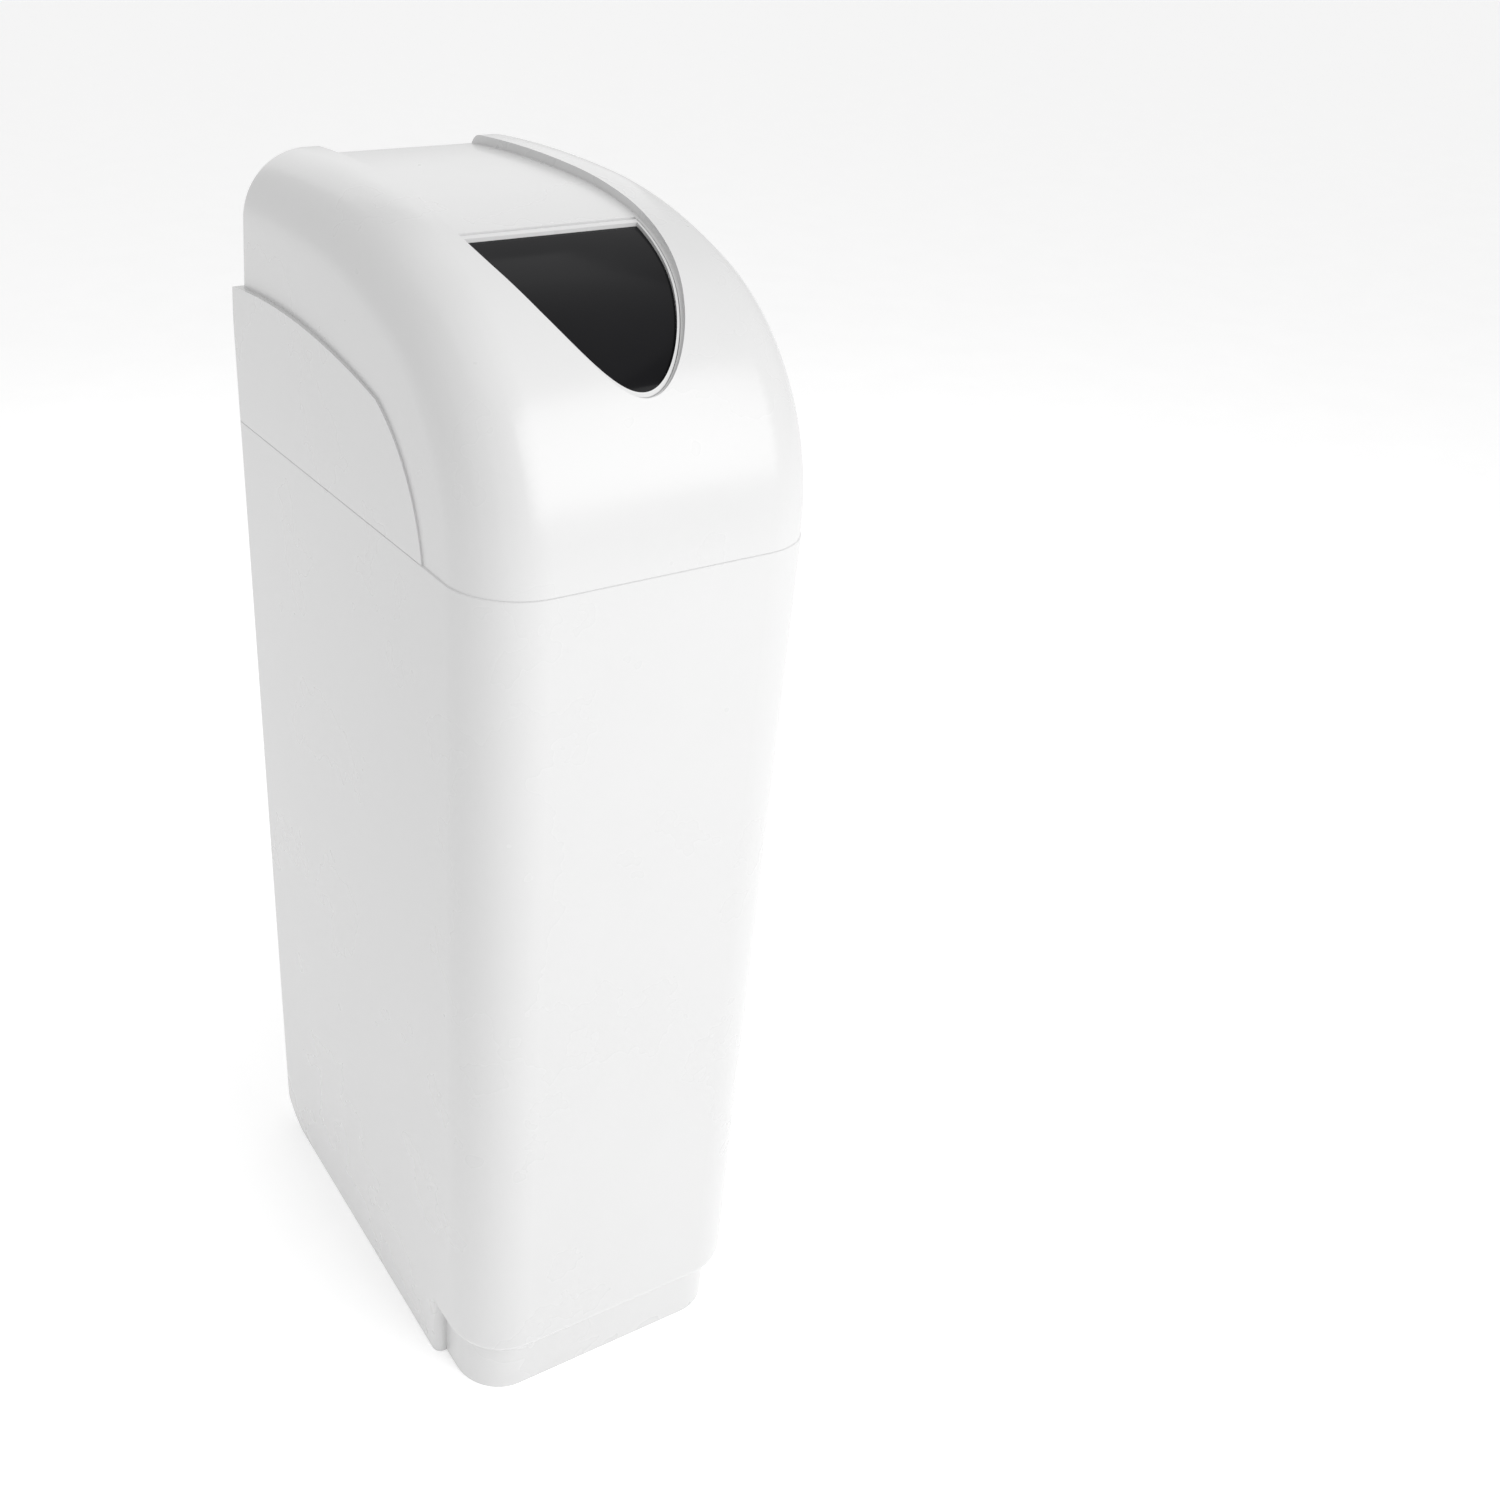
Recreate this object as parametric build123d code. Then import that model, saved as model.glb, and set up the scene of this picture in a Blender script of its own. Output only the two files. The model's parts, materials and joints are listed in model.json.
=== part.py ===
from build123d import *
import math
import os

# A cabinet water softener: a tall salt cabinet with a lift-off hood and a salt hatch, a resin tank with
# its control valve on the neck, a bypass behind the valve, and a brine well with a safety float.
# The frame: origin on the floor under the middle of the cabinet, front towards -Y, +X to the right as
# seen from the front, +Z up. All lengths are millimetres.

# Cabinet and hood
width = 320.0
depth = 520.0
overall_height = 1142.0
seam_share = 0.7793345
corner_radius = 60.0
rear_corner_radius = 18.0
body_wall = 4.5
floor_thickness = 5.0
rear_floor_radius = 70.0
plinth_height = 66.0
plinth_front_inset = 16.0
plinth_side_inset = 12.0
skirt_front = 172.0
skirt_corner_radius = 9.0
front_edge_radius = 14.0
rim_depth = 12.0
rim_inner_offset = 8.5
rim_outer_offset = 6.0
rim_rise = 8.0
seam_chamfer = 1.2
hood_wall = 3.5
hood_narrowing = 7.0
rear_lean = 38.0
front_radius_share = 0.87
brow_radius_share = 2.056
crown_radius_share = 5.93
brow_heading = 23.1
crown_heading = 4.5

# Step pad on each side of the hood
pad_rear_height = 124.0
pad_middle_height = 132.0
pad_brow_height = 109.0
pad_front_height = 60.0
pad_middle_y = 90.0
pad_brow_y = -80.0
pad_turn_y = -136.0
pad_front_y = -160.0

# Channel and salt hatch in the top of the hood
channel_depth = 8.0
channel_fade = 5.5
channel_floor = 3.0
channel_rear_half = 79.0
channel_border = 4.0
hatch_half_width = 82.5
hatch_length = 174.0
hatch_centre_y = -45.0
hatch_rear_y = -66.0
hatch_thickness = 6.0
hatch_clearance = 0.6
hatch_rim = 2.2
hatch_ledge = 6.0
hatch_ledge_thickness = 1.6
pane_thickness = 1.6
hatch_frame_wall = 4.0
hatch_frame_depth = 10.0
hinge_barrel_radius = 3.0
hinge_pin_radius = 1.5
hinge_pin_reach = 10.0
hinge_pin_wall = 3.4
hinge_end_gap = 0.5

# Notch for the bypass in the rear wall of the hood
notch_half_width = 105.0
notch_height = 98.0
notch_corner_radius = 12.0

# Resin tank
tank_side_gap = 27.0
neck_over_seam = 15.0
tank_wall = 3.0
tank_rear_gap = 33.0
tank_knuckle_radius = 30.0
tank_dome_height = 62.0
shoulder_share = 0.1667
neck_radius = 41.0
neck_bore_radius = 35.8
neck_height = 34.0
boot_floor = 6.0
boot_wall = 3.0
boot_height = 86.0
boot_edge_radius = 38.0
riser_radius = 13.5
riser_wall = 1.8
riser_lift = 24.0
basket_radius = 24.0
basket_height = 44.0
upper_basket_radius = 30.0
upper_basket_height = 26.0
resin_height = 590.0

# Control valve body
flange_radius = 50.0
flange_thickness = 6.0
thread_length = 24.0
thread_clearance = 0.3
valve_bore_radius = 14.2
barrel_radius = 25.5
barrel_height = 74.0
barrel_set_forward = 12.0
barrel_bore_radius = 17.5
barrel_floor = 6.0
barrel_rib = 2.4
barrel_rib_rise = 1.6
port_spacing = 70.0
port_rise = 29.0
port_radius = 21.0
port_reach = 40.0
port_collar = 4.0
port_collar_radius = 23.5
port_socket_depth = 22.0
port_bore_radius = 11.0
boss_radius = 18.0
boss_reach = 56.0
boss_bulge_radius = 24.0
boss_bulge_reach = 34.0
side_nut_flats = 20.0
side_nut_length = 8.0
side_nut_rise = 36.0
plug_stem_radius = 3.0
plug_stem_length = 4.0
plug_knob_radius = 7.5
plug_knob_length = 13.0
plug_slot_width = 3.0
plug_slot_depth = 6.0
fitting_radius = 8.5
fitting_nut_flats = 18.0
fitting_nut_length = 13.0
fitting_chamfer = 2.0
drain_rise = 37.0
drain_set_back = 4.0
drain_over_brine = 5.0
drain_bore_radius = 4.5
drain_barb_radius = 6.3
drain_barb_length = 16.0
brine_rise = 22.0
brine_set_forward = 10.0
gusset_length = 18.0
gusset_thickness = 4.0
o_ring_section = 2.4

# Piston, seals and end plug
piston_radius = 11.0
piston_length = 38.0
piston_floor_gap = 30.0
rod_radius = 3.0
seal_clearance = 0.06
spacer_outer_gap = 1.2
spacer_inner_gap = 0.48
seal_lift = 2.0
seal_count = 4
seal_height = 10.0
seal_pitch = 16.0
plug_thickness = 6.0
plug_radius = 22.0
yoke_half_width = 15.0
yoke_depth = 8.0
yoke_height = 14.0
yoke_slot_height = 6.6
yoke_slot_half = 12.0
crank_radius = 11.0
crank_pin_radius = 2.8
crank_disc_radius = 15.0
crank_disc_thickness = 4.0
crank_gap = 1.5

# Timer head: bezel, plate, cover
drive_rise = 105.0
drive_reach = 85.0
bezel_top_width = 203.0
bezel_bottom_width = 190.0
bezel_height = 102.0
bezel_top_arch = 5.0
bezel_bottom_arch = 4.0
bezel_corner_radius = 9.0
least_corner_share = 0.33
bezel_depth = 22.0
bezel_wall = 7.0
bezel_ledge = 4.0
plate_recess = 17.0
plate_thickness = 1.5
plate_edge_gap = 0.2
trim_thickness = 3.0
trim_step = 0.2
cover_overhang = 1.5
cover_depth = 95.0
cover_wall = 2.5
cover_taper = 14.0
badge_radius = 17.0
badge_thickness = 0.8
badge_set_back = 30.0
tab_top_half = 14.0
tab_bottom_half = 11.0
tab_height = 20.5
tab_thickness = 2.0
bracket_half_width = 87.0
bracket_half_height = 38.0
bracket_thickness = 3.0
foot_half_width = 24.0
foot_length = 77.0
foot_hole_radius = 5.0
screw_radius = 2.0
screw_head_radius = 4.0
screw_head_height = 3.0
screw_spacing = 34.0
motor_radius = 24.0
motor_length = 29.0
motor_hub_radius = 6.0
drive_gear_radius = 18.0
drive_gear_thickness = 5.0
running_gap = 0.4
bore_clearance = 0.06

# Wheels of the timer
gear_module = 0.75
day_teeth = 100
day_thickness = 6.0
day_front = 2.5
day_shaft_radius = 4.0
pinion_teeth = 16
program_teeth = 77
program_thickness = 5.0
program_front = 10.5
program_rise = 4.0
meter_teeth = 12
meter_angle = -47.5
tooth_addendum_share = 0.9
tooth_root_share = 1.15
tooth_root_width_share = 0.66
tooth_tip_width_share = 0.24
knob_radius = 28.5
knob_disc_thickness = 2.7
knob_grip_width = 17.5
knob_grip_length = 52.0
knob_grip_height = 7.5
knob_scoop_radius = 9.0
knob_scoop_depth = 1.8
knob_scoop_length = 42.0
knob_plate_width = 12.0
knob_plate_length = 46.0
knob_plate_thickness = 0.6
pinion_shaft_radius = 2.0
pinion_button_radius = 3.2
pinion_button_length = 5.5
carrier_radius = 12.5
carrier_thickness = 5.0
carrier_recess_share = 0.75
dial_radius = 22.5
dial_thickness = 2.6
dial_ring_radius = 18.5
dial_ring_rise = 4.0
dial_hub_radius = 8.7
dial_hub_length = 4.0
wheel_stud_radius = 3.0
meter_post_radius = 1.5
meter_housing_radius = 11.0
meter_housing_thickness = 1.0
lens_radius = 7.0
lens_height = 4.5
green_lens_x = -82.0
green_lens_rise = 20.0
red_lens_x = -78.5
red_lens_rise = -16.0

# Bypass
spigot_radius = 17.0
spigot_clearance = 0.2
spigot_bore_radius = 12.0
spigot_entry = 20.0
bypass_set_back = 84.0
housing_radius = 24.0
housing_drop = 27.0
housing_rise = 21.0
collar_radius = 27.0
collar_height = 4.5
waist_half_depth = 12.0
waist_drop = 22.0
waist_rise = 16.0
rotor_radius = 15.0
rotor_floor = 6.0
rotor_cap_radius = 23.0
rotor_cap_height = 5.0
grip_length = 42.0
grip_width = 15.0
grip_height = 25.0
grip_wall = 2.5
stub_radius = 16.6
stub_end_y = 264.0
frame_plate = 3.0
frame_half_height = 19.0
frame_half_width = 25.0
frame_reach = 46.0
side_stub_radius = 14.0
side_stub_length = 8.0
side_plug_radius = 10.0
side_plug_length = 12.0
side_plug_cup = 5.0
side_plug_cup_radius = 6.7
lug_length = 22.0
lug_thickness = 9.0
lug_half_height = 7.0
clip_thickness = 2.0
clip_width = 15.0
clip_half_height = 20.0
clip_lip = 2.0
clip_gap = 0.4
clip_screw_radius = 2.5
clip_screw_head_radius = 4.6
clip_screw_head_height = 3.5

# Brine side
well_side_gap = 10.5
well_y = -130.0
well_radius = 45.0
well_wall = 3.0
well_below_seam = 20.0
well_slot_count = 6
well_slot_width = 4.0
well_slot_height = 60.0
well_slot_lift = 30.0
cap_thickness = 4.0
cap_lip = 1.0
cap_skirt = 14.0
cap_gap = 0.3
line_radius = 4.75
line_turn_radius = 20.0
line_bend_radius = 25.0
line_drop_y = -30.0
line_below_seam = 50.0
line_end_set_back = 20.0
float_valve_radius = 14.0
float_valve_height = 52.0
float_valve_drop = 38.0
float_spigot_radius = 8.0
pickup_radius = 6.0
pickup_offset = 12.0
pickup_socket_share = 0.333
check_radius = 13.0
check_height = 36.0
check_lift = 15.0
float_rod_radius = 1.6
float_offset = 24.0
float_radius = 16.0
float_height = 60.0
float_centre_z = 420.0
float_rod_drop = 60.0
arm_thickness = 4.0
float_stop_drop = 24.0
overflow_side_offset = 50.0
overflow_drop = 90.0
overflow_radius = 10.5
overflow_bore_radius = 7.5
overflow_bend_radius = 16.0
overflow_collar_radius = 15.0
overflow_collar_thickness = 3.0
overflow_reach = 20.0
overflow_shoulder_radius = 13.5
overflow_shoulder_thickness = 3.0
overflow_shoulder_gap = 1.0
overflow_hose_length = 16.0
overflow_nut_flats = 28.0
overflow_nut_thickness = 6.0

# General clearance between pieces of one fixed group, and overrun of cutting shapes
seat_clearance = 0.3
overrun = 20.0
edge_margin = 1.0
quarter_turn = 90.0
half_turn = 180.0
full_turn = 360.0
hexagon_sides = 6

# Derived places
seam_height = overall_height * seam_share
half_width = width / 2
half_depth = depth / 2
hood_height = overall_height - seam_height
tank_radius = half_width - body_wall - tank_side_gap
tank_y = half_depth - body_wall - tank_rear_gap - tank_radius
tank_bottom = floor_thickness + boot_floor
neck_top = seam_height + neck_over_seam
flange_top = neck_top + flange_thickness
barrel_top = flange_top + barrel_height
barrel_y = tank_y - barrel_set_forward
port_z = flange_top + port_rise
port_x = port_spacing / 2
port_face_y = barrel_y + barrel_radius + port_reach
bypass_y = tank_y + bypass_set_back
gear_z = flange_top + drive_rise
bezel_front_y = tank_y - drive_reach
bezel_back_y = bezel_front_y + bezel_depth
plate_y = bezel_front_y + plate_recess
plate_back_y = plate_y + plate_thickness
bracket_y = bezel_front_y + plate_recess + plate_thickness + plate_thickness
bracket_back_y = bracket_y + bracket_thickness
trim_back_y = bezel_back_y + trim_thickness
cover_back_y = trim_back_y + cover_depth
day_y = bezel_front_y + day_front
day_back_y = day_y + day_thickness
program_y = bezel_front_y + program_front
program_back_y = program_y + program_thickness
day_pitch_radius = gear_module * day_teeth / 2
pinion_pitch_radius = gear_module * pinion_teeth / 2
program_pitch_radius = gear_module * program_teeth / 2
meter_pitch_radius = gear_module * meter_teeth / 2
pinion_x = -(day_pitch_radius + pinion_pitch_radius)
program_x = day_pitch_radius + dial_radius + gear_module * 2
program_z = gear_z + program_rise
meter_reach = program_pitch_radius + meter_pitch_radius
meter_x = program_x + meter_reach * math.cos(math.radians(meter_angle))
meter_z = program_z + meter_reach * math.sin(math.radians(meter_angle))
drain_z = flange_top + drain_rise
drain_y = barrel_y + drain_set_back
brine_z = flange_top + brine_rise
brine_y = barrel_y - brine_set_forward
piston_bottom = flange_top + piston_floor_gap
piston_top = piston_bottom + piston_length
plug_top = barrel_top + plug_thickness
crank_z = gear_z + crank_radius
yoke_front_y = barrel_y - yoke_depth / 2
well_x = half_width - body_wall - well_side_gap - well_radius
brine_reach = well_x - line_turn_radius - fitting_nut_length
drain_reach = brine_reach + drain_over_brine
overflow_x = half_width - overflow_side_offset
overflow_z = seam_height - overflow_drop
well_bottom = floor_thickness
well_top = seam_height - well_below_seam
line_well_z = seam_height - line_below_seam
overflow_shoulder_top = overflow_z - overflow_bend_radius - overflow_shoulder_gap
overflow_shoulder_z = overflow_shoulder_top - overflow_shoulder_thickness
overflow_end_z = overflow_shoulder_z - overflow_hose_length
float_valve_top = line_well_z + float_valve_height - float_valve_drop


def along_x(face, start, end):
    plane = Plane(origin=(start, 0, 0), x_dir=(0, 1, 0), z_dir=(1, 0, 0))
    return extrude(plane * face, end - start)


def along_y(face, start, end):
    plane = Plane(origin=(0, end, 0), x_dir=(1, 0, 0), z_dir=(0, -1, 0))
    return extrude(plane * face, end - start)


def along_z(face, start, end):
    return extrude(Pos(0, 0, start) * face, end - start)


def spot(across, up, radius):
    return Pos(across, up) * Circle(radius)


def ring(across, up, outer, inner):
    return spot(across, up, outer) - spot(across, up, inner)


def patch(left, right, low, high):
    return Pos((left + right) / 2, (low + high) / 2) * Rectangle(right - left, high - low)


def panel(across, up, wide, tall):
    return Pos(across, up) * Rectangle(wide, tall)


def hexagon(across, up, flats):
    return Pos(across, up) * RegularPolygon(flats / 2, hexagon_sides, major_radius=False)


def polygon(*points):
    return make_face(Polyline(*points, close=True))


# Outline of the cabinet seen from above, pulled in by an offset
def cabinet_plan(offset):
    face = patch(-half_width + offset, half_width - offset, -half_depth + offset, half_depth - offset)
    front = face.vertices().filter_by(lambda v: v.Y < 0)
    face = fillet(front, corner_radius - offset)
    rear = face.vertices().filter_by(lambda v: v.Y > half_depth - offset - seat_clearance)
    return fillet(rear, max(rear_corner_radius - offset, rear_corner_radius / 2))


# The solid block of the cabinet: upper block, set-back plinth, side skirts and round rear foot
def cabinet_block(offset):
    top = seam_height + offset
    floor = floor_thickness if offset else 0
    upper = along_z(cabinet_plan(offset), plinth_height + offset, top)
    if not offset:
        lower_edges = upper.edges().filter_by(lambda e: e.center().Z < plinth_height + edge_margin)
        front_edges = lower_edges.filter_by(lambda e: e.center().Y < -skirt_front)
        upper = fillet(front_edges, front_edge_radius)
        seam_edges = upper.edges().filter_by(lambda e: e.center().Z > top - seam_chamfer)
        upper = chamfer(seam_edges, seam_chamfer)
    side = half_width - plinth_side_inset - offset
    front = -half_depth + plinth_front_inset + offset
    plinth = patch(-side, side, front, half_depth - rear_floor_radius)
    corners = plinth.vertices().filter_by(lambda v: v.Y < 0)
    plinth = fillet(corners, corner_radius - plinth_side_inset - offset)
    lower = along_z(plinth, floor, plinth_height + front_edge_radius + offset)
    skirt = patch(-half_width + offset, half_width - offset, -skirt_front + offset, half_depth - offset)
    skirt_corners = skirt.vertices().filter_by(lambda v: v.Y < 0)
    skirt = fillet(skirt_corners, skirt_corner_radius)
    rear_corners = skirt.vertices().filter_by(lambda v: v.Y > half_depth - offset - seat_clearance)
    skirt = fillet(rear_corners, max(rear_corner_radius - offset, rear_corner_radius / 2))
    base = along_z(skirt, floor, plinth_height + front_edge_radius + offset)
    block = upper + lower + base
    side_face = patch(-half_depth, half_depth - offset, floor, top)
    heel = side_face.vertices().filter_by(lambda v: v.Y < floor + seat_clearance and v.X > 0)
    side_face = fillet(heel, rear_floor_radius - offset)
    return block & along_x(side_face, -half_width, half_width)


def cabinet_body():
    body = cabinet_block(0) - cabinet_block(body_wall)
    rim = cabinet_plan(rim_outer_offset / 2) - cabinet_plan(rim_inner_offset)
    body += along_z(rim, seam_height - rim_depth, seam_height)
    tongue = cabinet_plan(rim_outer_offset) - cabinet_plan(rim_inner_offset)
    body += along_z(tongue, seam_height - rim_depth, seam_height + rim_rise)
    body -= along_y(spot(overflow_x, overflow_z, overflow_radius + seat_clearance), 0, half_depth + overrun)
    tongue_gap = patch(-notch_half_width, notch_half_width, half_depth - overrun, half_depth + overrun)
    return body - along_z(tongue_gap, seam_height, seam_height + overrun)


# Centres and radii of the three arcs of the hood's side profile, front to back
def hood_arcs(offset):
    front = hood_height * front_radius_share
    brow = hood_height * brow_radius_share
    crown = hood_height * crown_radius_share
    low = math.radians(brow_heading)
    high = math.radians(crown_heading)
    crown_z = overall_height - crown
    brow_z = crown_z + (crown - brow) * math.cos(high)
    front_z = brow_z + (brow - front) * math.cos(low)
    front_y = front - half_depth
    brow_y = front_y + (brow - front) * math.sin(low)
    crown_y = brow_y + (crown - brow) * math.sin(high)
    return (
        (front_y, front_z, front - offset),
        (brow_y, brow_z, brow - offset),
        (crown_y, crown_z, crown - offset),
    )


def arc_point(arc, heading):
    y, z, radius = arc
    angle = math.radians(heading)
    return (y - radius * math.sin(angle), z + radius * math.cos(angle))


# Height of the hood's upper skin at a place along the brow arc
def brow_height(y, offset):
    centre_y, centre_z, radius = hood_arcs(offset)[1]
    return centre_z + math.sqrt(radius ** 2 - (y + channel_fade - centre_y) ** 2)


# Side profile of the hood, pulled in by an offset, down to a base height, with its rear wall leaning
def hood_profile(offset, base, rear_lean=rear_lean, rear_shift=0):
    front, brow, crown = hood_arcs(offset)
    lean = rear_lean / hood_height
    rear_foot = half_depth - offset + rear_shift
    rear_top = half_depth - rear_lean - offset + rear_shift
    rear_heading = math.degrees(math.asin((crown[0] - rear_top) / crown[2]))
    middle_crown = (crown_heading + rear_heading) / 2
    middle_brow = (brow_heading + crown_heading) / 2
    middle_front = (quarter_turn + brow_heading) / 2
    toe = arc_point(front, quarter_turn)
    start = arc_point(crown, rear_heading)
    foot_y = rear_foot + (seam_height - base) * lean
    return make_face(
        Line((foot_y, base), start)
        + ThreePointArc(start, arc_point(crown, middle_crown), arc_point(crown, crown_heading))
        + ThreePointArc(
            arc_point(brow, crown_heading),
            arc_point(brow, middle_brow),
            arc_point(brow, brow_heading),
        )
        + ThreePointArc(arc_point(front, brow_heading), arc_point(front, middle_front), toe)
        + Line(toe, (toe[0], base))
        + Line((toe[0], base), (foot_y, base))
    )


# Rounded form of the hood, slightly narrower at the back
def hood_form(offset, base):
    form = along_x(hood_profile(offset, base), -half_width, half_width)
    front_half = half_width - offset
    rear_half = half_width - hood_narrowing - offset
    plan = polygon(
        (-front_half, -half_depth - overrun),
        (front_half, -half_depth - overrun),
        (rear_half, half_depth + overrun),
        (-rear_half, half_depth + overrun),
    )
    form = form & along_z(plan, base, overall_height + overrun)
    rear_limit = half_depth - rear_lean - offset - overrun
    long_edges = [
        edge
        for edge in form.edges()
        if abs(edge.center().X) > rear_half - edge_margin
        and edge.center().Z > base + edge_margin
        and edge.center().Y < rear_limit
    ]
    form = fillet(long_edges, corner_radius - offset)
    rear_edges = [
        edge
        for edge in form.edges()
        if edge.center().Y > rear_limit and edge.center().Z > base + edge_margin
        and min(v.Y for v in edge.vertices()) > rear_limit
    ]
    return fillet(rear_edges, rear_corner_radius - offset)


# Full-width pad low on each side of the hood, under a curved ledge
def hood_pad(offset, base):
    rear = half_depth + overrun
    ledge = seam_height - offset
    rear_point = (rear, ledge + pad_rear_height)
    middle = (pad_middle_y, ledge + pad_middle_height)
    brow = (pad_brow_y, ledge + pad_brow_height)
    turn = (pad_turn_y + offset, ledge + pad_front_height)
    toe = (pad_front_y + offset, base)
    face = make_face(
        ThreePointArc(rear_point, middle, brow)
        + ThreePointArc(brow, turn, toe)
        + Line(toe, (rear, base))
        + Line((rear, base), rear_point)
    )
    pad = along_x(face & hood_profile(offset, base), -half_width + offset, half_width - offset)
    plan = cabinet_plan(offset)
    leaning = along_z(plan, base, overall_height)
    return pad & leaning


def hood_solid(offset, base):
    return hood_form(offset, base) + hood_pad(offset, base)


# Everything of the hood below the channel floor, sunk further by a depth
def channel_skin(sink):
    base = seam_height - overrun
    profile = hood_profile(channel_depth + sink, base, rear_lean=0, rear_shift=overrun * 2)
    return Pos(0, -channel_fade, 0) * along_x(profile, -half_width, half_width)


# Half ellipse of the hatch seen from above, grown by a border, cut straight at the back
def shield(border, rear_y):
    side = hatch_half_width + border
    reach = hatch_length + border
    face = make_face(
        EllipticalCenterArc((0, hatch_centre_y), side, reach, start_angle=half_turn, arc_size=half_turn)
        + Line((side, hatch_centre_y), (-side, hatch_centre_y))
    )
    return face & patch(-width, width, -depth, rear_y)


def channel_plan(border):
    side = hatch_half_width + channel_border + border
    reach = hatch_length + channel_border + border
    rear_side = channel_rear_half + border
    rear = half_depth + overrun
    return make_face(
        EllipticalCenterArc((0, hatch_centre_y), side, reach, start_angle=half_turn, arc_size=half_turn)
        + Line((side, hatch_centre_y), (rear_side, rear))
        + Line((rear_side, rear), (-rear_side, rear))
        + Line((-rear_side, rear), (-side, hatch_centre_y))
    )


def upright(face):
    return along_z(face, seam_height - overrun, overall_height + overrun)


# Layer of the hatch region between two depths below the channel floor
def layer(face, top_sink, bottom_sink):
    return (upright(face) & channel_skin(top_sink)) - channel_skin(bottom_sink)


hinge_y = hatch_rear_y
hinge_z = brow_height(hatch_rear_y, channel_depth) - hinge_barrel_radius - hatch_clearance / 2
hinge_half = hatch_half_width * math.sqrt(1 - ((hatch_rear_y - hatch_centre_y) / hatch_length) ** 2)
pocket_rear_y = hinge_y + hinge_barrel_radius + hatch_clearance


def hood():
    base = seam_height - overrun
    cavity = hood_solid(hood_wall, base)
    cavity -= upright(channel_plan(hood_wall)) - channel_skin(channel_floor)
    cavity -= layer(shield(hatch_frame_wall, pocket_rear_y + hatch_frame_wall), 0, hatch_frame_depth)
    shell = hood_solid(0, seam_height) - (upright(channel_plan(0)) - channel_skin(0))
    shell -= cavity
    shell -= upright(shield(hatch_clearance, pocket_rear_y)) - channel_skin(hatch_thickness + seat_clearance)
    shell -= upright(shield(-hatch_ledge, hinge_y - hinge_barrel_radius * 2))
    notch = patch(-notch_half_width, notch_half_width, base, seam_height + notch_height)
    notch_corners = notch.vertices().filter_by(lambda v: v.Y > seam_height)
    notch = fillet(notch_corners, notch_corner_radius)
    shell -= along_y(notch, half_depth - rear_lean - overrun, half_depth + overrun)
    pin_end = hinge_half + hatch_clearance + hinge_pin_wall
    pin_hole = spot(hinge_y, hinge_z, hinge_pin_radius + bore_clearance)
    return shell - along_x(pin_hole, -pin_end, pin_end)


def hinge_pin(side):
    inner = side * (hinge_half - hinge_end_gap - hinge_pin_reach)
    outer = side * (hinge_half + hatch_clearance + hinge_pin_wall)
    return along_x(spot(hinge_y, hinge_z, hinge_pin_radius), min(inner, outer), max(inner, outer))


def hatch_hinge_pins():
    return hinge_pin(-1) + hinge_pin(1)


def hatch_frame():
    frame = layer(shield(0, hinge_y), 0, hatch_thickness)
    barrel_half = hinge_half - hinge_end_gap
    frame += along_x(spot(hinge_y, hinge_z, hinge_barrel_radius), -barrel_half, barrel_half)
    window_rear = hinge_y - hinge_barrel_radius - hatch_rim
    frame -= upright(shield(-hatch_rim, window_rear)) - channel_skin(hatch_thickness - hatch_ledge_thickness)
    opening_rear = window_rear - hatch_ledge
    frame -= upright(shield(-hatch_rim - hatch_ledge, opening_rear))
    corner = upright(patch(-width, width, hinge_y - hinge_barrel_radius, half_depth))
    frame -= corner & channel_skin(hinge_barrel_radius * 2) - channel_skin(channel_depth + hood_height / 2)
    for side in (-1, 1):
        frame -= hinge_pin(side)
    return frame


def hatch_pane():
    window_rear = hinge_y - hinge_barrel_radius - hatch_rim - seat_clearance
    top = hatch_thickness - hatch_ledge_thickness - pane_thickness
    return layer(shield(-hatch_rim - seat_clearance, window_rear), top, top + pane_thickness)


def crown_radius(radius, dome):
    across = radius - tank_knuckle_radius
    return (across ** 2 + dome ** 2 - tank_knuckle_radius ** 2) / (2 * (dome - tank_knuckle_radius))


# One domed end in half outline: a tight knuckle arc, then the shallow crown arc, upward or downward
def dome_arcs(radius, base, dome, way):
    across = radius - tank_knuckle_radius
    crown = crown_radius(radius, dome)
    lean = math.asin(across / (crown - tank_knuckle_radius))

    def on_knuckle(angle):
        rise = tank_knuckle_radius * math.cos(angle)
        return (across + tank_knuckle_radius * math.sin(angle), base + way * rise)

    def on_crown(angle):
        rise = dome - crown + crown * math.cos(angle)
        return (crown * math.sin(angle), base + way * rise)

    knuckle = ThreePointArc((radius, base), on_knuckle((math.pi / 2 + lean) / 2), on_knuckle(lean))
    return knuckle + ThreePointArc(on_knuckle(lean), on_crown(lean / 2), (0, base + way * dome))


# Half outline of a domed vessel, turned about the tank's axis
def vessel(radius, low, high, dome):
    face = make_face(
        dome_arcs(radius, low + dome, dome, -1)
        + Line((radius, low + dome), (radius, high - dome))
        + dome_arcs(radius, high - dome, dome, 1)
        + Line((0, high), (0, low))
    )
    return Pos(0, tank_y, 0) * revolve(Plane.XZ * face, Axis.Z)


tank_shoulder = neck_top - neck_height + tank_dome_height * shoulder_share


def resin_tank():
    tank = vessel(tank_radius, tank_bottom, tank_shoulder, tank_dome_height)
    tank += along_z(spot(0, tank_y, neck_radius), tank_shoulder - tank_dome_height / 2, neck_top)
    inner = tank_radius - tank_wall
    tank -= vessel(inner, tank_bottom + tank_wall, tank_shoulder - tank_wall, tank_dome_height)
    return tank - along_z(spot(0, tank_y, neck_bore_radius), tank_shoulder - tank_dome_height, neck_top)


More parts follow.
